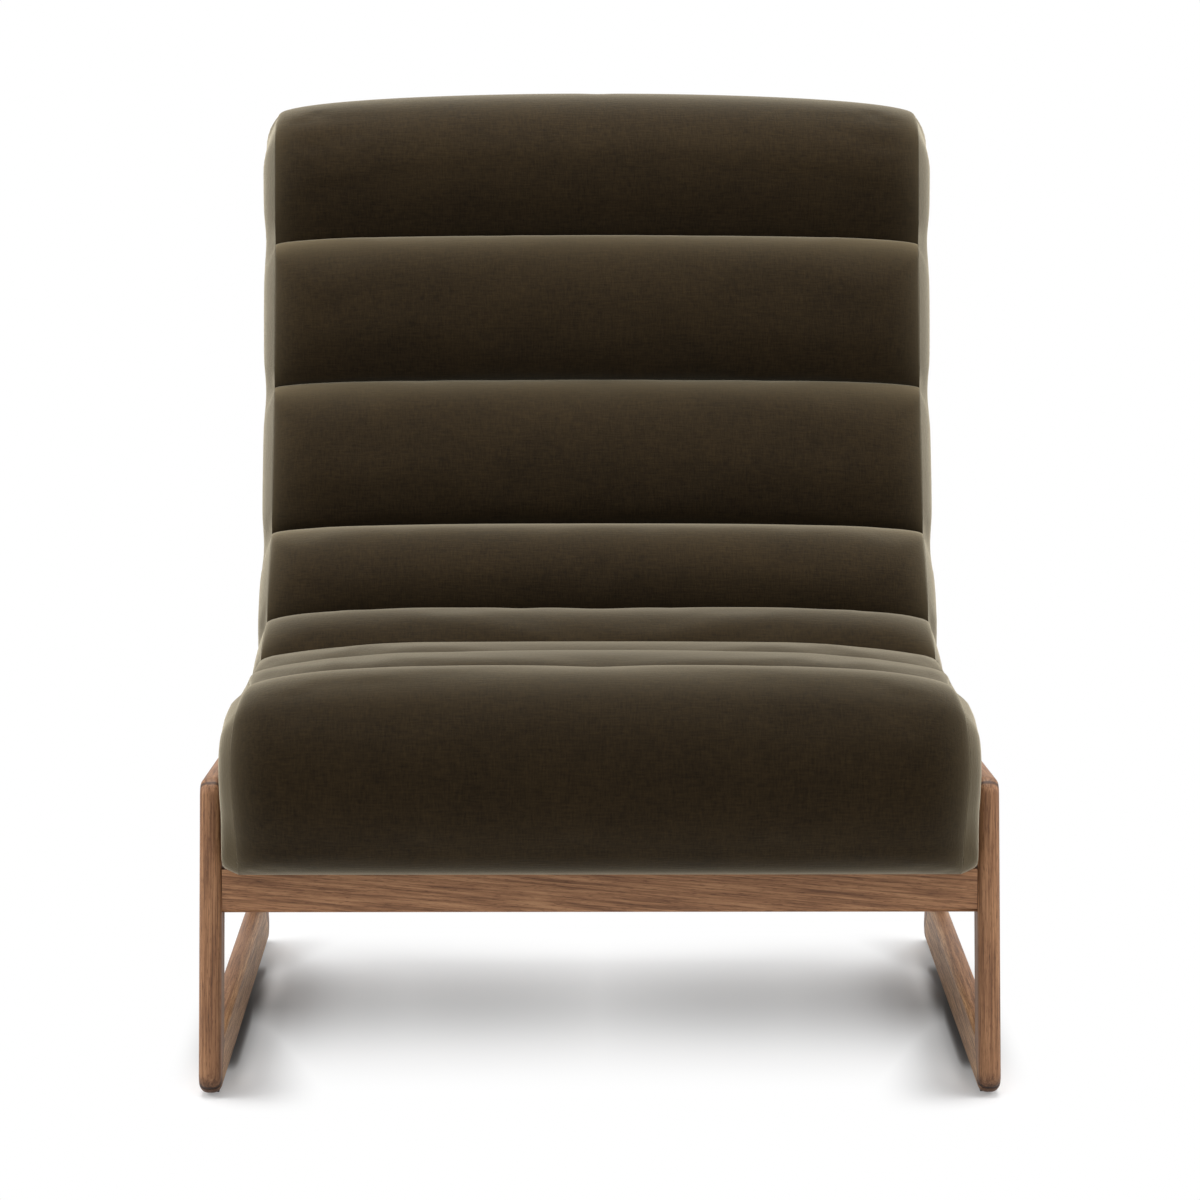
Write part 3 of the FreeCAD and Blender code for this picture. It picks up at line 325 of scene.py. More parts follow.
def fall(u, power=3):
    """How far a seam or crown has fallen away: 0 in the middle, 1 at the ends.

    1 minus the square root of 1 - |u| to the power; 2 gives an ellipse.
    """
    return 1 - np.sqrt(np.clip(1 - np.abs(u) ** power, 0, 1))


def crown_share(u, end_crown, power):
    """Share of a channel's full crown across the width, down to the share at its end."""
    return 1 - (1 - end_crown) * fall(u, power)


def seam_at(number, u):
    """Arc length of one valley across the width: it dips towards both ends."""
    return VALLEYS[number] - SEAM_DIPS[number] * fall(u)


def seam(number, u):
    """One valley's seam in side view: on the seat it also sinks towards both ends."""
    return shell(seam_at(number, u), SEAM_DROPS[number] * fall(u))


def channel_top(number, u, count=ROUND):
    """Crowned surface of one channel.

    The chord from valley to valley plus crown times (4 v (1 - v)) to a power below 1,
    which stands steeper at the seams than a circle.
    """
    _, _, crown, end_crown, power = CHANNELS[number]
    a, b = seam(number, u), seam(number + 1, u)
    v = (1 - np.cos(np.linspace(0, np.pi, count))) / 2
    chord = b - a
    out = np.stack([-chord[..., 1], chord[..., 0]], axis=-1)
    out = out / np.linalg.norm(out, axis=-1, keepdims=True)
    height = crown * crown_share(u, end_crown, power)[:, None] * (4 * v * (1 - v)) ** CROWN_POWER
    return a[:, None] + chord[:, None] * v[:, None] + out[:, None] * height[..., None]


def about(centre, across, up):
    """Side view points at distances across and up from a centre."""
    across, up = np.broadcast_arrays(across, up)
    return np.stack([centre[0] + across, centre[1] + up], axis=-1)


def flowing(arcs, steps=8):
    """Smooth line along arcs that meet at slight corners: a uniform cubic B-spline.

    Between controls a, b, c, d it is the sum of (1-t)^3 a, (3t^3 - 6t^2 + 4) b,
    (-3t^3 + 3t^2 + 3t + 1) c and t^3 d, over 6, with each end control taken three times.
    """
    controls = np.concatenate([arc[:, :-1] for arc in arcs[:-1]] + [arcs[-1]], axis=1)
    controls = np.concatenate(
        [controls[:, :1], controls[:, :1], controls, controls[:, -1:], controls[:, -1:]], axis=1
    )
    a, b, c, d = (controls[:, k : controls.shape[1] - 3 + k, None] for k in range(4))
    t = np.linspace(0, 1, steps, endpoint=False)[:, None]
    line = (
        (1 - t) ** 3 * a
        + (3 * t**3 - 6 * t**2 + 4) * b
        + (-3 * t**3 + 3 * t**2 + 3 * t + 1) * c
        + t**3 * d
    ) / 6
    line = line.reshape(len(line), -1, 2)
    return np.concatenate([line, controls[:, -1:]], axis=1)


def front_roll(u):
    """The waterfall roll: from the first valley over the nose to the underside.

    Its reach also loses a share of |u| to a high power, which rounds its end corners.
    """
    rise, reach, drop = (
        full * (1 - draw * fall(u, 4))
        for full, draw in zip((ROLL_RISE, ROLL_REACH, ROLL_DROP), ROLL_DRAWS)
    )
    reach = reach - ROLL_CORNER * np.abs(u) ** ROLL_CORNER_POWER
    first = seam(0, u)
    last = np.broadcast_to(shell(-NOSE_REACH, SHELL_DEPTH), first.shape)
    p = [
        about(ROLL_CENTRE, across * reach, up * (rise if up > 0 else drop))
        for across, up in ROLL_POINTS
    ]
    return flowing(
        [
            arc_through(first, p[0], p[1], 8),
            arc_through(p[1], p[2], p[3], 8),
            arc_through(p[3], p[4], last, 6),
        ]
    )


def top_roll(u):
    """The top roll: from the last valley over the top to the rear face."""
    share = crown_share(u, TOP_END_CROWN, 2)
    rise = TOP_RISE * (1 - TOP_DRAW * (1 - share))
    first = shell(seam_at(6, u))
    shoulder, crest, behind = (
        about(TOP_CENTRE, across * TOP_HALF, up * rise) for across, up in TOP_POINTS
    )
    swell = turned(BACK_HEADING + math.pi / 2, TOP_SWELL) * share[:, None]
    last = np.broadcast_to(rear_face(SHELF_Z), first.shape)
    bulge = turned(BACK_HEADING - math.pi / 2, TOP_BULGE)
    return flowing(
        [
            arc_through(first, (first + shoulder) / 2 + swell, shoulder, 7),
            arc_through(shoulder, crest, behind, 9),
            arc_through(behind, (behind + last) / 2 + bulge, last, 5),
        ]
    )


def drawn_in(points):
    """How far the seam stands inside its full half width, from side view points."""
    return sum(
        depth * np.exp(-((np.linalg.norm(points - np.array(at), axis=-1) / spread) ** 2))
        for depth, at, spread in (CORNER, BOW)
    )


# Meshes


def mesh_object(name, points, faces):
    """New object of the scene from points and faces."""
    mesh = bpy.data.meshes.new(name)
    mesh.from_pydata(points.tolist(), [], faces)
    mesh.update()
    thing = bpy.data.objects.new(name, mesh)
    bpy.context.scene.collection.objects.link(thing)
    return thing


def across_seat(rings):
    """Points in space from a ring of side view points at each station."""
    x = STATIONS[:, None] * (HALF - drawn_in(rings))
    return np.concatenate([x[..., None], rings], axis=-1)


def paint_sheen(thing, nap):
    """Writes the share of painted sheen at every point, which the velvet mixes in as a paler
    colour.
    """
    thing.data.attributes.new("nap", "FLOAT", "POINT").data.foreach_set("value", nap)


def ring_quads(rows, around):
    """Four-sided faces between rows of points that each close into a ring."""
    i, j = np.meshgrid(np.arange(rows - 1), np.arange(around), indexing="ij")
    k = (j + 1) % around
    quads = [i * around + j, (i + 1) * around + j, (i + 1) * around + k, i * around + k]
    return np.stack(quads, axis=-1).reshape(-1, 4).tolist()


def closed_tube(name, points, nap=None):
    """Closed solid from a ring of points at each station, with fans over both ends."""
    rows, around = points.shape[:2]
    middles = np.stack([points[0].mean(0), points[-1].mean(0)])
    count = rows * around
    tail = count - around
    n = np.arange(around)
    m = (n + 1) % around
    first = np.stack([np.full(around, count), n, m], axis=-1)
    last = np.stack([np.full(around, count + 1), tail + m, tail + n], axis=-1)
    faces = ring_quads(rows, around) + first.tolist() + last.tolist()
    thing = mesh_object(name, np.concatenate([points.reshape(-1, 3), middles]), faces)
    if nap is not None:
        paint_sheen(thing, np.concatenate([nap.ravel(), [0.0, 0.0]]))
    return outward(thing)


def outward(thing, merge=1e-6):
    """Merge double points and turn every face outwards."""
    work = bmesh.new()
    work.from_mesh(thing.data)
    bmesh.ops.remove_doubles(work, verts=work.verts, dist=merge)
    bmesh.ops.dissolve_degenerate(work, edges=work.edges, dist=1e-7)
    bmesh.ops.recalc_face_normals(work, faces=work.faces)
    work.to_mesh(thing.data)
    work.free()
    thing.data.update()
    return thing


def smooth(thing, angle):
    """Smooth shading, but for edges sharper than an angle in degrees."""
    thing.data.shade_smooth()
    thing.data.set_sharp_from_angle(angle=math.radians(angle))
    return thing


# Materials


def new_material(name):
    """New material with its node tree and its shader."""
    material = bpy.data.materials.new(name)
    material.use_nodes = True
    return material, material.node_tree, material.node_tree.nodes["Principled BSDF"]


def linear(red, green, blue):
    """Colour written as sRGB from 0 to 255."""
    parts = []
    for level in (red, green, blue):
        c = level / 255
        parts.append(c / 12.92 if c <= 0.04045 else ((c + 0.055) / 1.055) ** 2.4)
    return (*parts, 1.0)


def noise(tree, vector, scale, detail=2.0, rough=0.5, output="Fac"):
    """Noise at a coordinate, as a value or as a colour."""
    node = tree.nodes.new("ShaderNodeTexNoise")
    node.inputs["Scale"].default_value = scale
    node.inputs["Detail"].default_value = detail
    node.inputs["Roughness"].default_value = rough
    tree.links.new(vector, node.inputs["Vector"])
    return node.outputs[output]


def stretched(tree, vector, scale, turn=0.0, slope=0.0):
    """Coordinate turned about x, sloped about y and drawn out by the scale along each axis."""
    node = tree.nodes.new("ShaderNodeMapping")
    node.vector_type = "TEXTURE"
    node.inputs["Rotation"].default_value = (math.radians(turn), math.radians(slope), 0)
    node.inputs["Scale"].default_value = scale
    tree.links.new(vector, node.inputs["Vector"])
    return node.outputs["Vector"]


def maths(tree, operation, *values):
    """Result of one operation on values, each a number or an output."""
    node = tree.nodes.new("ShaderNodeMath")
    node.operation = operation
    for socket, value in zip(node.inputs, values):
        if isinstance(value, (int, float)):
            socket.default_value = value
        else:
            tree.links.new(value, socket)
    return node.outputs["Value"]


def ramp(tree, value, stops):
    """Colours at positions from 0 to 1."""
    node = tree.nodes.new("ShaderNodeValToRGB")
    elements = node.color_ramp.elements
    while len(elements) < len(stops):
        elements.new(0.5)
    for element, (position, colour) in zip(elements, stops):
        element.position = position
        element.color = colour
    tree.links.new(value, node.inputs["Fac"])
    return node.outputs["Color"]


def bump(tree, shader, height, strength, distance):
    """Lets a height from 0 to 1 tilt the shader's surface; distance is its full rise."""
    node = tree.nodes.new("ShaderNodeBump")
    node.inputs["Strength"].default_value = strength
    node.inputs["Distance"].default_value = distance
    tree.links.new(height, node.inputs["Height"])
    tree.links.new(node.outputs["Normal"], shader.inputs["Normal"])


def velvet():
    """Short-pile velvet: dark straight on, pale where the pile is seen from the side."""
    material, tree, shader = new_material("olive_velvet")
    place = tree.nodes.new("ShaderNodeTexCoord").outputs["Object"]
    rows = noise(tree, stretched(tree, place, (7, 1, 1)), *PILE_ROWS)
    ribs = noise(tree, stretched(tree, place, (1, 6, 6)), *PILE_RIBS)
    clouds = noise(tree, place, *PILE_CLOUDS)
    weave = maths(tree, "ADD", rows, ribs)
    fine = maths(tree, "MULTIPLY", weave, PILE_STRENGTH)
    value = maths(tree, "ADD", fine, maths(tree, "MULTIPLY", clouds, CLOUD_STRENGTH))
    colour = ramp(tree, value, [(0.34, linear(*VELVET_LOW)), (0.66, linear(*VELVET_HIGH))])
    # Painted sheen: a paler colour mixed in by the attribute, a painted highlight beside the
    # seams, at the ends and on the side pads
    nap = tree.nodes.new("ShaderNodeAttribute")
    nap.attribute_name = "nap"
    mix = tree.nodes.new("ShaderNodeMix")
    mix.data_type = "RGBA"
    mix.inputs[7].default_value = linear(*VELVET_PAINTED_SHEEN)
    tree.links.new(nap.outputs["Fac"], mix.inputs["Factor"])
    tree.links.new(colour, mix.inputs[6])
    tree.links.new(mix.outputs[2], shader.inputs["Base Color"])
    bump(tree, shader, weave, strength=0.5, distance=0.0004)
    shader.inputs["Roughness"].default_value = 0.95
    shader.inputs["Specular IOR Level"].default_value = 0.05
    shader.inputs["Sheen Weight"].default_value = 0.80
    shader.inputs["Sheen Roughness"].default_value = 0.38
    shader.inputs["Sheen Tint"].default_value = linear(*VELVET_SHEEN)
    return material


def step(tree, value, low, high):
    """0 below low, 1 above high, smooth between; high may be the lower of the two."""
    node = tree.nodes.new("ShaderNodeMapRange")
    node.interpolation_type = "SMOOTHSTEP"
    node.inputs["From Min"].default_value = low
    node.inputs["From Max"].default_value = high
    tree.links.new(value, node.inputs["Value"])
    return node.outputs["Result"]


def band(tree, value, up, down):
    """1 between two smooth steps, 0 before the first and after the second."""
    return maths(tree, "MULTIPLY", step(tree, value, *up), step(tree, value, *down))


def tinted(tree, colour, share, tint):
    """The colour times the tint, where the share is 1."""
    mix = tree.nodes.new("ShaderNodeMix")
    mix.data_type = "RGBA"
    mix.blend_type = "MULTIPLY"
    mix.inputs[7].default_value = tint
    tree.links.new(share, mix.inputs["Factor"])
    tree.links.new(colour, mix.inputs[6])
    return mix.outputs[2]


def ash_grain(tree, place, turn, axis):
    """Rings, lines and pores of the grain: noises drawn out along it and bent by another."""
    if axis == "X":
        along, short = (stretched(tree, place, (1, long, 1), turn) for long in FRAME_GRAIN)
    else:
        along, short = (
            stretched(tree, place, (long, 1, 1), 0, RAIL_SLOPE) for long in RAIL_GRAIN
        )
    bend = noise(tree, along, *GRAIN_BEND, output="Color")
    push = tree.nodes.new("ShaderNodeVectorMath")
    push.operation = "MULTIPLY_ADD"
    push.inputs[1].default_value = (GRAIN_PUSH, GRAIN_PUSH, GRAIN_PUSH)
    tree.links.new(bend, push.inputs[0])
    tree.links.new(along, push.inputs[2])
    wavy = push.outputs["Vector"]
    rings = noise(tree, wavy, *GRAIN_RINGS)
    lines = noise(tree, wavy, *GRAIN_LINES)
    pores = noise(tree, short, *GRAIN_PORES)
    return rings, lines, pores


def mitre_share(tree, axes, y, z, lean):
    """1 on a mitre's plane, 0 beside it, from the distance (z - z0) cos a - (y - y0) sin a."""
    behind = maths(tree, "MULTIPLY", axes.outputs["Y"], -math.sin(lean))
    above = maths(tree, "MULTIPLY", axes.outputs["Z"], math.cos(lean))
    level = y * math.sin(lean) - z * math.cos(lean)
    away = maths(tree, "ADD", maths(tree, "ADD", behind, above), level)
    return step(tree, maths(tree, "ABSOLUTE", away), *MITRE_LINE)


def ash(name, turn, axis="X", tone=1.0, painted_light_side=False, mitres=()):
    """Stained open-grain ash whose grain runs along y turned about x, or along x.

    It has painted shade at the feet and dark lines along its mitres. Its painted-light side is
    the face turned to the middle of the chair, painted paler and greyer for the floor's light.
    """
    material, tree, shader = new_material(name)
    place = tree.nodes.new("ShaderNodeTexCoord").outputs["Object"]
    rings, lines, pores = ash_grain(tree, place, turn, axis)
    fine = maths(tree, "MULTIPLY", lines, LINE_STRENGTH)
    value = maths(tree, "ADD", fine, maths(tree, "MULTIPLY", rings, RING_STRENGTH))
    shades = [(at, (*(c * tone for c in linear(*shade)[:3]), 1)) for at, shade in ASH_SHADES]
    colour = ramp(tree, value, shades)
    dark = ramp(tree, pores, [(0.56, (1, 1, 1, 1)), (0.68, ASH_PORES)])
    mix = tree.nodes.new("ShaderNodeMix")
    mix.data_type = "RGBA"
    mix.blend_type = "MULTIPLY"
    mix.inputs["Factor"].default_value = 1.0
    tree.links.new(colour, mix.inputs[6])
    tree.links.new(dark, mix.inputs[7])
    axes = tree.nodes.new("ShaderNodeSeparateXYZ")
    tree.links.new(place, axes.inputs["Vector"])
    # Painted shade at the bottom of the feet, at both ends of the side frames
    foot = step(tree, maths(tree, "ABSOLUTE", axes.outputs["Y"]), *FOOT_DEPTH)
    foot = maths(tree, "MULTIPLY", foot, step(tree, axes.outputs["Z"], *FOOT_HEIGHT))
    colour = tinted(tree, mix.outputs[2], foot, PAINTED_FOOT_SHADE)
    for mitre in mitres:
        colour = tinted(tree, colour, mitre_share(tree, axes, *MITRES[mitre]), MITRE_TINT)
    # Painted light: the runners' inner faces painted paler and greyer, as the floor's light would
    # make them
    if painted_light_side:
        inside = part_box("right_runner")[0].x
        away = maths(tree, "SUBTRACT", maths(tree, "ABSOLUTE", axes.outputs["X"]), inside)
        colour = tinted(tree, colour, step(tree, away, *PAINTED_LIGHT_FADE), PAINTED_LIGHT_TINT)
    tree.links.new(colour, shader.inputs["Base Color"])
    bump(tree, shader, maths(tree, "SUBTRACT", lines, pores), strength=0.35, distance=0.0004)
    shader.inputs["Roughness"].default_value = 0.56
    shader.inputs["Specular IOR Level"].default_value = 0.36
    return material


def plain(name, colour, roughness, metallic=0.0):
    """Material of one colour."""
    material, _, shader = new_material(name)
    shader.inputs["Base Color"].default_value = colour
    shader.inputs["Roughness"].default_value = roughness
    shader.inputs["Metallic"].default_value = metallic
    return material


VELVET = velvet()


def dress(thing, material):
    """The thing in one material, named as a slot that can be changed."""
    thing.data.materials.clear()
    thing.data.materials.append(material)
    return thing


# Cloth: each channel's cover is an even sheet held along its seams


def arc_shares(points):
    """Share of the arc length at every point of each row."""
    steps = np.linalg.norm(np.diff(points, axis=1), axis=-1)
    run = np.concatenate([np.zeros((len(points), 1)), np.cumsum(steps, axis=1)], axis=1)
    return run / run[:, -1:]


def resampled(values, places, at):
    """Three coordinates of a line, read off at new places."""
    return np.stack([np.interp(at, places, values[:, k]) for k in range(3)], axis=-1)


def even_sheet(points, share):
    """The cover resampled in even steps of the width and of arc length."""
    rows = np.stack([resampled(row, s, SHEET_V) for row, s in zip(points, share)])
    columns = [resampled(rows[:, j], STATIONS, SHEET_U) for j in range(SHEET_COLUMNS)]
    return np.stack(columns, axis=1)


def on_cover(move, share):
    """A sheet's movement at the cover's own points, evened out twice in shares of 1, 2 and 1."""
    columns = [resampled(move[:, j], SHEET_U, STATIONS) for j in range(SHEET_COLUMNS)]
    rows = np.stack(columns, axis=1)
    out = np.stack([resampled(row, SHEET_V, s) for row, s in zip(rows, share)])
    for _ in range(2):
        out[1:-1] = (out[:-2] + 2 * out[1:-1] + out[2:]) / 4
        out[:, 1:-1] = (out[:, :-2] + 2 * out[:, 1:-1] + out[:, 2:]) / 4
    return out


def held_sheet(name, points):
    """Sheet of cloth from a grid of points, held all round its edge and blown up a little."""
    rows, columns = points.shape[:2]
    i, j = np.meshgrid(np.arange(rows - 1), np.arange(columns - 1), indexing="ij")
    at = i * columns + j
    faces = np.stack([at, at + 1, at + columns + 1, at + columns], axis=-1).reshape(-1, 4)
    thing = mesh_object(name, points.reshape(-1, 3), faces.tolist())
    held = np.zeros((rows, columns), bool)
    held[[0, -1]] = held[:, [0, -1]] = True
    sewn = thing.vertex_groups.new(name="sewn")
    sewn.add(np.flatnonzero(held).tolist(), 1.0, "REPLACE")
    cloth = thing.modifiers.new("cloth", "CLOTH")
    cloth.point_cache.frame_start, cloth.point_cache.frame_end = 1, CLOTH_FRAMES
    settings = cloth.settings
    settings.quality = CLOTH_QUALITY
    settings.vertex_group_mass = "sewn"
    settings.shrink_min = CLOTH_SHRINK
    settings.bending_stiffness = CLOTH_BENDING
    settings.use_pressure = True
    settings.uniform_pressure_force = CLOTH_PRESSURE
    settings.effector_weights.gravity = 0
    return thing


def sewn_cloth(sheets):
    """How far cloth moves from each sheet of points when it is blown up between its seams.

    A move of length d is shortened to r tanh(d / r), so that none is longer than r.
    """
    things = [held_sheet(f"sheet_{number}", points) for number, points in enumerate(sheets)]
    for number in range(1, CLOTH_FRAMES + 1):
        bpy.context.scene.frame_set(number)
    graph = bpy.context.evaluated_depsgraph_get()
    moves = []
    for thing, points in zip(things, sheets):
        settled = thing.evaluated_get(graph)
        place = np.empty(points.size)
        settled.data.vertices.foreach_get("co", place)
        move = place.reshape(points.shape) - points
        length = np.linalg.norm(move, axis=-1, keepdims=True) + 1e-9
        moves.append(move * np.tanh(length / CLOTH_REACH) * CLOTH_REACH / length)
    bpy.context.scene.frame_set(1)
    for thing in things:
        mesh = thing.data
        bpy.data.objects.remove(thing)
        bpy.data.meshes.remove(mesh)
    return moves


# Cover: eight channels, two side pads, the back


def base_line(number, count=6):
    """Underside of a channel, from its upper valley back to its lower one."""
    ends = [seam_at(number + 1, STATIONS)[:, None], seam_at(number, STATIONS)[:, None]]
    return shell(straight(*ends, count)[..., 0], ROLL_DEPTH)


def underside(outer, corner_s, number):
    """Underside of a roll: from its rear or lower end to a corner and on to a valley."""
    corner = np.broadcast_to(shell(corner_s, ROLL_DEPTH), outer[:, 0].shape)
    low = shell(seam_at(number, STATIONS), ROLL_DEPTH)
    parts = [straight(outer[:, -1], corner, 8), straight(corner, low, 6)]
    return np.concatenate([part[:, 1:] for part in parts], axis=1)


shelf_s = TOP_START + (SHELF_Z - shell(TOP_START)[1]) / math.sin(BACK_HEADING)
top, roll = top_roll(STATIONS), front_roll(STATIONS)
covers = [
    (f"channel_{label}", channel_top(number, STATIONS), base_line(number))
    for number, (label, *_) in enumerate(CHANNELS)
]
covers.append(("channel_1_top", top, underside(top, shelf_s, len(CHANNELS))))
covers.append(("channel_8_front", roll, underside(roll, -NOSE_REACH, 0)))
covers = [(node, across_seat(cover), across_seat(under)) for node, cover, under in covers]

shares = [arc_shares(cover) for _, cover, _ in covers]
moves = sewn_cloth([even_sheet(cover, share) for (_, cover, _), share in zip(covers, shares)])
for (node, cover, under), share, move in zip(covers, shares, moves):
    # Painted sheen: a paler colour fading below the seam at each cover's top, and at the
    # channels' ends
    away = np.linalg.norm(np.diff(cover, axis=1), axis=-1).sum(1)[:, None]
    away = away * (share if node == "channel_8_front" else 1 - share)
    ends = END_SHEEN * np.exp((np.abs(cover[..., 0]) - HALF) / END_SHEEN_WIDTH)
    nap = np.maximum(np.exp(-away / SEAM_SHEEN.get(node, NO_SEAM_SHEEN)), ends)
    nap = np.concatenate([nap, np.zeros(under.shape[:2])], axis=1)
    cover = cover + on_cover(move, share)
    name = "velvet_" + node.replace("_top", "").replace("_front", "")
    thing = closed_tube(name, np.concatenate([cover, under], axis=1), nap)
    smooth(dress(thing, VELVET), 50)
    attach(thing, "root")
    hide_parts(node)


def side_outline():
    """Upper and lower outline of a side pad at the end seam, each with its arc length s.

    Both start at the nose's foremost point and end at the top roll's crest.
    """
    end = np.array([1.0])
    nose = front_roll(end)[0]
    crown = top_roll(end)[0]
    tip, crest = int(nose[:, 0].argmin()), int(crown[:, 1].argmax())
    upper = [nose[: tip + 1][::-1]]
    for number in range(len(CHANNELS)):
        upper.append(channel_top(number, end)[0][1:])
    upper.append(crown[1 : crest + 1])
    upper = np.concatenate(upper)
    turns = np.linspace(SEAT_HEADING, REAR_HEADING, 60)
    shelf = rear_face(SHELF_Z)
    lower = np.concatenate(
        [
            nose[tip:],
            shell(np.linspace(-NOSE_REACH, SEAT_LENGTH, 30)[1:], SHELL_DEPTH),
            heel(turns)[1:],
            straight(heel(REAR_HEADING), shelf, 40)[1:],
            crown[crest:-1][::-1],
        ]
    )
    return upper, lower


def lengths(points):
    """Arc length at every point of a line."""
    steps = np.linalg.norm(np.diff(points, axis=0), axis=1)
    return np.concatenate([[0], np.cumsum(steps)])


def nearest(points, target):
    """Number of the point closest to a target."""
    return int(np.linalg.norm(points - target, axis=1).argmin())


def matched(points, keys, count_of):
    """Resample a line so that its key points fall on given columns."""
    run = lengths(points)
    stops = [run[nearest(points, key)] for key in keys]
    stops[0], stops[-1] = 0.0, run[-1]
    places = [np.linspace(a, b, n, endpoint=False) for a, b, n in zip(stops, stops[1:], count_of)]
    places = np.concatenate(places + [[stops[-1]]])
    return np.stack([np.interp(places, run, points[:, k]) for k in (0, 1)], axis=-1)


def side_grid():
    """Columns across the side from the upper outline to the lower one."""
    upper, lower = side_outline()
    upper_keys = [
        upper[0],
        shell(VALLEYS[0]),
        shell(SEAT_LENGTH),
        shell(BACK_START),
        shell(VALLEYS[5]),
        shell(VALLEYS[6]),
        upper[-1],
    ]
    lower_keys = [
        lower[0],
        shell(VALLEYS[0], SHELL_DEPTH),
        shell(SEAT_LENGTH, SHELL_DEPTH),
        heel(BEND_HEADING),
        rear_face(shell(VALLEYS[5])[1] - COLUMN_DROPS[0]),
        rear_face(shell(VALLEYS[6])[1] - COLUMN_DROPS[1]),
        lower[-1],
    ]
    return matched(upper, upper_keys, COLUMNS), matched(lower, lower_keys, COLUMNS)


def blend(low, high, place, start, span):
    """From low to high while a place runs from a start over a span."""
    return low + (high - low) * np.clip((place - start) / span, 0, 1)


def border_widths(upper, lower):
    """Width over which the pad rises from its border, at every border point."""
    y, z = lower.T
    nose = blend(UNDER_EDGE, NOSE_EDGE, z, *NOSE_BLEND)
    rear = blend(UNDER_EDGE, REAR_EDGE, z, *REAR_BLEND)
    above = blend(NOSE_EDGE, BACK_EDGE, upper[:, 0], *SEAM_BLEND)
    return np.concatenate([above, np.where(y < NOSE_BORDER_END, nose, rear)[::-1]])


def border_share(border, widths, points):
    """Least distance to the stretches of a closed line, each over its own width."""
    best = np.full(points.shape[:-1], np.inf)
    for a, b, width in zip(border, np.roll(border, -1, axis=0), widths):
        run = b - a
        size = run @ run
        if size < 1e-14:
            continue
        t = np.clip((points - a) @ run / size, 0, 1)
        away = np.linalg.norm(points - a - t[..., None] * run, axis=-1)
        best = np.minimum(best, away / width)
    return np.clip(best, 0, 1)


def profile_place(points):
    """Arc length of the valley profile nearest to side view points."""
    line = shell(PROFILE_PLACES, PROFILE_DEPTH)
    return PROFILE_PLACES[np.linalg.norm(points[..., None, :] - line, axis=-1).argmin(-1)]


def side_pad(name, sign):
    """Padded side: out of the seam as a quarter sine wave, pinched in at every valley."""
    upper, lower = side_grid()
    v = (1 - np.cos(np.linspace(0, np.pi, PAD_ROWS))) / 2
    flat = upper[:, None] * (1 - v[:, None]) + lower[:, None] * v[:, None]
    above, below = side_outline()
    outline = np.concatenate([above, below[::-1]])
    share = border_share(outline, border_widths(above, below), flat)
    full = np.interp(profile_place(flat), BULGE_PLACES, BULGES)
    bulge = full * np.sin(share * np.pi / 2)
    for s in VALLEYS:
        at = shell(s)
        into = turned(heading(s) - math.pi / 2)
        run = flat - at
        depth = run @ into
        beside = run @ turned(heading(s))
        width = PINCH_WIDTH + PINCH_SPREAD * np.clip(depth, 0, PINCH_LIMIT)
        fade = np.exp(-((np.clip(depth, 0, 1) / PINCH_REACH) ** 2))
        bulge = bulge * (1 - PINCH * np.exp(-((beside / width) ** 2)) * fade)
    draw = drawn_in(flat)
    deep = border_share(outline, np.full(len(outline), CORNER_FADE), flat)
    base = HALF - np.where(draw > 0, draw * (1 - deep), draw)
    rows = np.stack([base + bulge, flat[..., 0], flat[..., 1]], axis=-1)
    back = rows.copy()
    back[..., 0] = base + PAD_WALL
    ring = np.concatenate([rows, back[:, ::-1]], axis=1)
    ring[..., 0] *= sign
    thing = mesh_object(name, ring.reshape(-1, 3), ring_quads(*ring.shape[:2]))
    # Painted sheen: the side pads' colour painted paler, more so on the nose
    ahead = np.clip((NOSE_SHEEN_END - ring[..., 1].ravel()) / NOSE_SHEEN_FADE, 0, 1)
    paint_sheen(thing, PAD_SHEEN + NOSE_SHEEN * ahead)
    return outward(thing, 2e-5)


for name, sign in (("left", -1), ("right", 1)):
    thing = side_pad(f"velvet_side_{name}", sign)
    smooth(dress(thing, VELVET), 60)
    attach(thing, "root")
    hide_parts(f"{name}_side_pad")


def rear_line(inset=0.0):
    """Line from the shelf down the rear face and round the heel."""
    flat = straight(rear_face(SHELF_Z, inset), heel(REAR_HEADING, inset), 40)
    turns = np.linspace(REAR_HEADING, SEAT_HEADING, 50)
    return np.concatenate([flat[:-1], heel(turns, inset)])


def back_cover():
    """Outer back: a thin panel along the rear line, a little crowned."""
    line, inner = rear_line(), rear_line(BACK_THICK)
    normal = (line - inner) / BACK_THICK
    t = np.linspace(0, 1, len(line))
    down = np.sqrt(np.clip(4 * t * (1 - t), 0, 1))
    crown = BACK_CROWN * np.clip(1 - np.abs(STATIONS) ** 4, 0, 1)[:, None] * down
    outer = line[None] + normal[None] * crown[..., None]
    ring = np.concatenate([outer, np.broadcast_to(inner[::-1], outer.shape)], axis=1)
    points = across_seat(ring)
    points[..., 0] *= 1 + BACK_LAP / HALF
    return closed_tube("velvet_back", points)


thing = smooth(dress(back_cover(), VELVET), 50)
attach(thing, "root")
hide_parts("outer_back_panel")

# Timber: merged copies of the CAD boards, so that their rounded edges shade smoothly

# tone scales a board's colour; on the top rail it is darkened as painted shade, where the pad
# shades it
GRAINS = {
    "front_leg": ash("ash_front_leg", 90 - 11, tone=0.88, mitres=("front_top", "front_foot")),
    "rear_leg": ash("ash_rear_leg", 90 + 27, mitres=("rear_top", "rear_foot")),
    "top_rail": ash("ash_top_rail", -3.4, tone=0.70, mitres=("front_top", "rear_top")),
    "runner": ash(
        "ash_runner", 0, tone=0.94, painted_light_side=True, mitres=("front_foot", "rear_foot")
    ),
}
CROSS_GRAIN = ash("ash_cross_rail", 0, "Y")

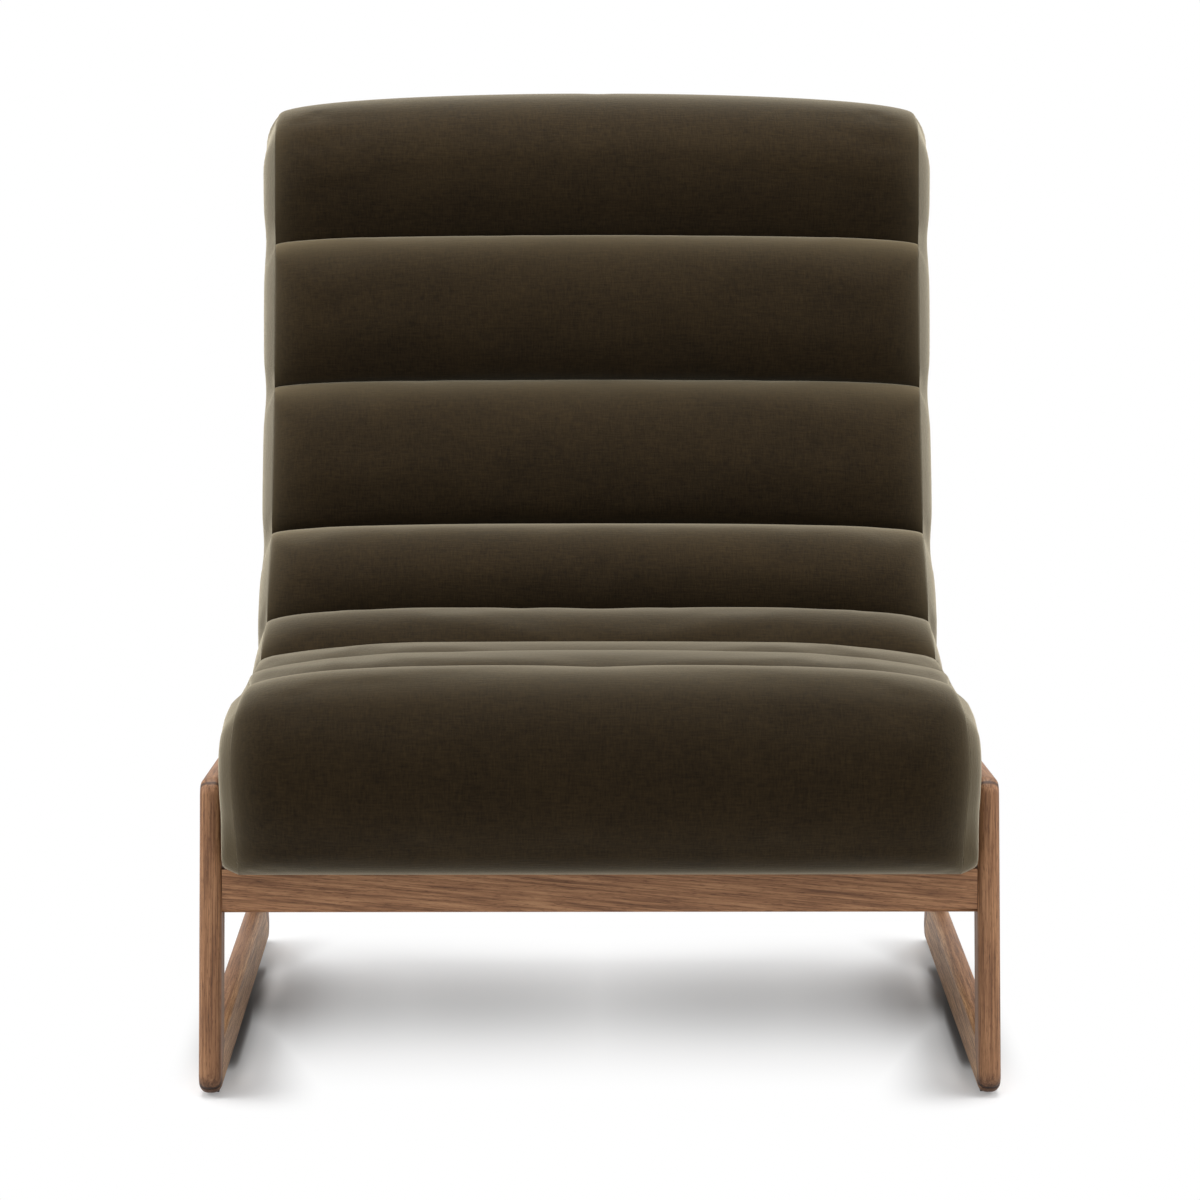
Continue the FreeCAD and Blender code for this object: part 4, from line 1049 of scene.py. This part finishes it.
BOARDS = {f"{side}_{part}": grain for part, grain in GRAINS.items() for side in ("left", "right")}
BOARDS.update({"front_rail": CROSS_GRAIN, "rear_rail": CROSS_GRAIN})

for node, grain in BOARDS.items():
    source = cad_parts[node]
    board = bpy.data.objects.new(f"ash_{node}", source.data.copy())
    bpy.context.scene.collection.objects.link(board)
    work = bmesh.new()
    work.from_mesh(board.data)
    bmesh.ops.remove_doubles(work, verts=work.verts, dist=1e-6)
    work.to_mesh(board.data)
    work.free()
    smooth(dress(board, grain), 32)
    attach(board, "root")
    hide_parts(node)

# Pieces inside and under the shell keep their CAD meshes

HIDDEN = {
    "beech_keys": (
        plain("beech_keys", linear(196, 170, 132), 0.6),
        ["mitre_splines", "rail_tenons"],
    ),
    "frame_plywood": (
        plain("frame_plywood", linear(192, 168, 132), 0.7),
        [
            "left_cheek",
            "right_cheek",
            "front_stretcher",
            "seat_rear_stretcher",
            "bend_stretcher",
            "lumbar_stretcher",
            "mid_back_stretcher",
            "top_stretcher",
            "front_rail_bearer",
            "rear_rail_bearer",
            "corner_blocks",
        ],
    ),
    "elastic_webbing": (
        plain("elastic_webbing", linear(60, 58, 55), 0.9),
        ["seat_webbing", "back_webbing"],
    ),
    "seat_foam": (plain("seat_foam", linear(222, 216, 196), 0.95), ["base_foam"]),
    "bottom_lining": (plain("bottom_lining", linear(34, 32, 30), 0.95), ["bottom_panel"]),
    "zinc_steel": (plain("zinc_steel", linear(186, 186, 184), 0.35, 1.0), ["shell_screws"]),
    "glide_nylon": (plain("glide_nylon", linear(58, 52, 46), 0.5), ["floor_glides"]),
}
for slot, (material, names) in HIDDEN.items():
    for name in names:
        dress(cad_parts[name], material)


# Studio: pale floor, soft lamps, camera


def seen_white(tree):
    """1 for the camera, glossy and transmission rays, 0 for the light that bounces."""
    rays = tree.nodes.new("ShaderNodeLightPath")
    seen = maths(tree, "MAXIMUM", rays.outputs["Is Camera Ray"], rays.outputs["Is Glossy Ray"])
    return maths(tree, "MAXIMUM", seen, rays.outputs["Is Transmission Ray"])


def floor_zones(tree, x, y):
    """How much of the real shade the floor keeps at |x| and y, and how clear it is there.

    Each zone is a product of smooth steps. The most of the zones is kept, and painted shadow
    makes the floor less clear close to the runners and near them inside.
    """
    under = maths(tree, "MULTIPLY", band(tree, y, *UNDER_Y), step(tree, x, *UNDER_X))
    beside = maths(tree, "MULTIPLY", band(tree, x, *BESIDE_X), band(tree, y, *BESIDE_Y))
    close = maths(tree, "MULTIPLY", band(tree, x, *CLOSE_X), band(tree, y, *CLOSE_Y))
    shade = maths(tree, "MAXIMUM", under, maths(tree, "MULTIPLY", beside, BESIDE_SHADE))
    shade = maths(tree, "MAXIMUM", shade, close)
    # Painted shadow: the floor's colour darkened near the runners inside, and close along them
    behind = maths(tree, "MAXIMUM", maths(tree, "SUBTRACT", y, NEAR_START), 0.0)
    inner = maths(tree, "SUBTRACT", x, maths(tree, "MULTIPLY", behind, NEAR_SLANT))
    near = maths(tree, "POWER", step(tree, inner, *NEAR_X), NEAR_POWER)
    near = maths(tree, "MULTIPLY", near, band(tree, y, *NEAR_Y))
    painted_shade_inside = maths(tree, "SUBTRACT", 1.0, maths(tree, "MULTIPLY", near, NEAR_SHADE))
    painted_shade_close = maths(tree, "SUBTRACT", 1.0, maths(tree, "MULTIPLY", close, CLOSE_SHADE))
    return shade, maths(tree, "MULTIPLY", painted_shade_inside, painted_shade_close)


def floor_material():
    """Pale floor: white, but for the real shade under the seat, lifted by painted light and
    deepened along the runners by painted shadow.
    """
    material, tree, shader = new_material("floor_pale")
    links = tree.links
    shader.inputs["Roughness"].default_value = 1.0
    shader.inputs["Specular IOR Level"].default_value = 0.0
    place = tree.nodes.new("ShaderNodeTexCoord").outputs["Object"]
    axes = tree.nodes.new("ShaderNodeSeparateXYZ")
    links.new(place, axes.inputs["Vector"])
    x = maths(tree, "ABSOLUTE", axes.outputs["X"])
    shade, clear = floor_zones(tree, x, axes.outputs["Y"])
    pale = ramp(tree, clear, [(0.0, (0, 0, 0, 1)), (1.0, FLOOR_PALE)])
    links.new(pale, shader.inputs["Base Color"])
    white = tree.nodes.new("ShaderNodeEmission")
    lift = tree.nodes.new("ShaderNodeEmission")
    level = maths(tree, "SUBTRACT", LIFT, maths(tree, "MULTIPLY", x, LIFT_FALL))
    level = maths(tree, "MAXIMUM", level, LIFT_LEAST)
    links.new(maths(tree, "MULTIPLY", clear, level), lift.inputs["Strength"])
    add = tree.nodes.new("ShaderNodeAddShader")
    near_mix = tree.nodes.new("ShaderNodeMixShader")
    ray_mix = tree.nodes.new("ShaderNodeMixShader")
    links.new(shader.outputs["BSDF"], add.inputs[0])
    links.new(lift.outputs["Emission"], add.inputs[1])
    links.new(shade, near_mix.inputs["Fac"])
    links.new(white.outputs["Emission"], near_mix.inputs[1])
    links.new(add.outputs["Shader"], near_mix.inputs[2])
    links.new(seen_white(tree), ray_mix.inputs["Fac"])
    links.new(shader.outputs["BSDF"], ray_mix.inputs[1])
    links.new(near_mix.outputs["Shader"], ray_mix.inputs[2])
    links.new(ray_mix.outputs["Shader"], tree.nodes["Material Output"].inputs["Surface"])
    return material


corners = np.array([[-1, -1, 0], [1, -1, 0], [1, 1, 0], [-1, 1, 0]]) * FLOOR_SIZE / 2
floor = mesh_object("floor", corners, [[0, 1, 2, 3]])
floor.data.materials.append(floor_material())

world = bpy.data.worlds.new("studio")
bpy.context.scene.world = world
world.use_nodes = True
tree = world.node_tree
nodes, links = tree.nodes, tree.links
glow = nodes["Background"]
glow.inputs["Color"].default_value = (1, 1, 1, 1)
glow.inputs["Strength"].default_value = WORLD_LIGHT
backdrop = nodes.new("ShaderNodeBackground")
backdrop.inputs["Color"].default_value = (1, 1, 1, 1)
mix = nodes.new("ShaderNodeMixShader")
links.new(seen_white(tree), mix.inputs["Fac"])
links.new(glow.outputs["Background"], mix.inputs[1])
links.new(backdrop.outputs["Background"], mix.inputs[2])
links.new(mix.outputs["Shader"], nodes["World Output"].inputs["Surface"])

for name, (place, width, height, power) in LAMPS.items():
    lamp = bpy.data.lights.new(name, "AREA")
    lamp.shape = "RECTANGLE"
    lamp.size, lamp.size_y = width, height
    lamp.energy = power
    softbox = bpy.data.objects.new(name, lamp)
    softbox.location = place
    softbox.rotation_euler = (AIM - Vector(place)).to_track_quat("-Z", "Y").to_euler()
    bpy.context.scene.collection.objects.link(softbox)

eye = bpy.data.cameras.new("photo_camera")
eye.lens = CAMERA_LENS
eye.sensor_width = 36
eye.clip_end = 200
camera = bpy.data.objects.new("photo_camera", eye)
camera.location = CAMERA_PLACE
camera.rotation_euler = CAMERA_TURN
bpy.context.scene.collection.objects.link(camera)
bpy.context.scene.camera = camera
bpy.context.scene.view_settings.view_transform = "Standard"
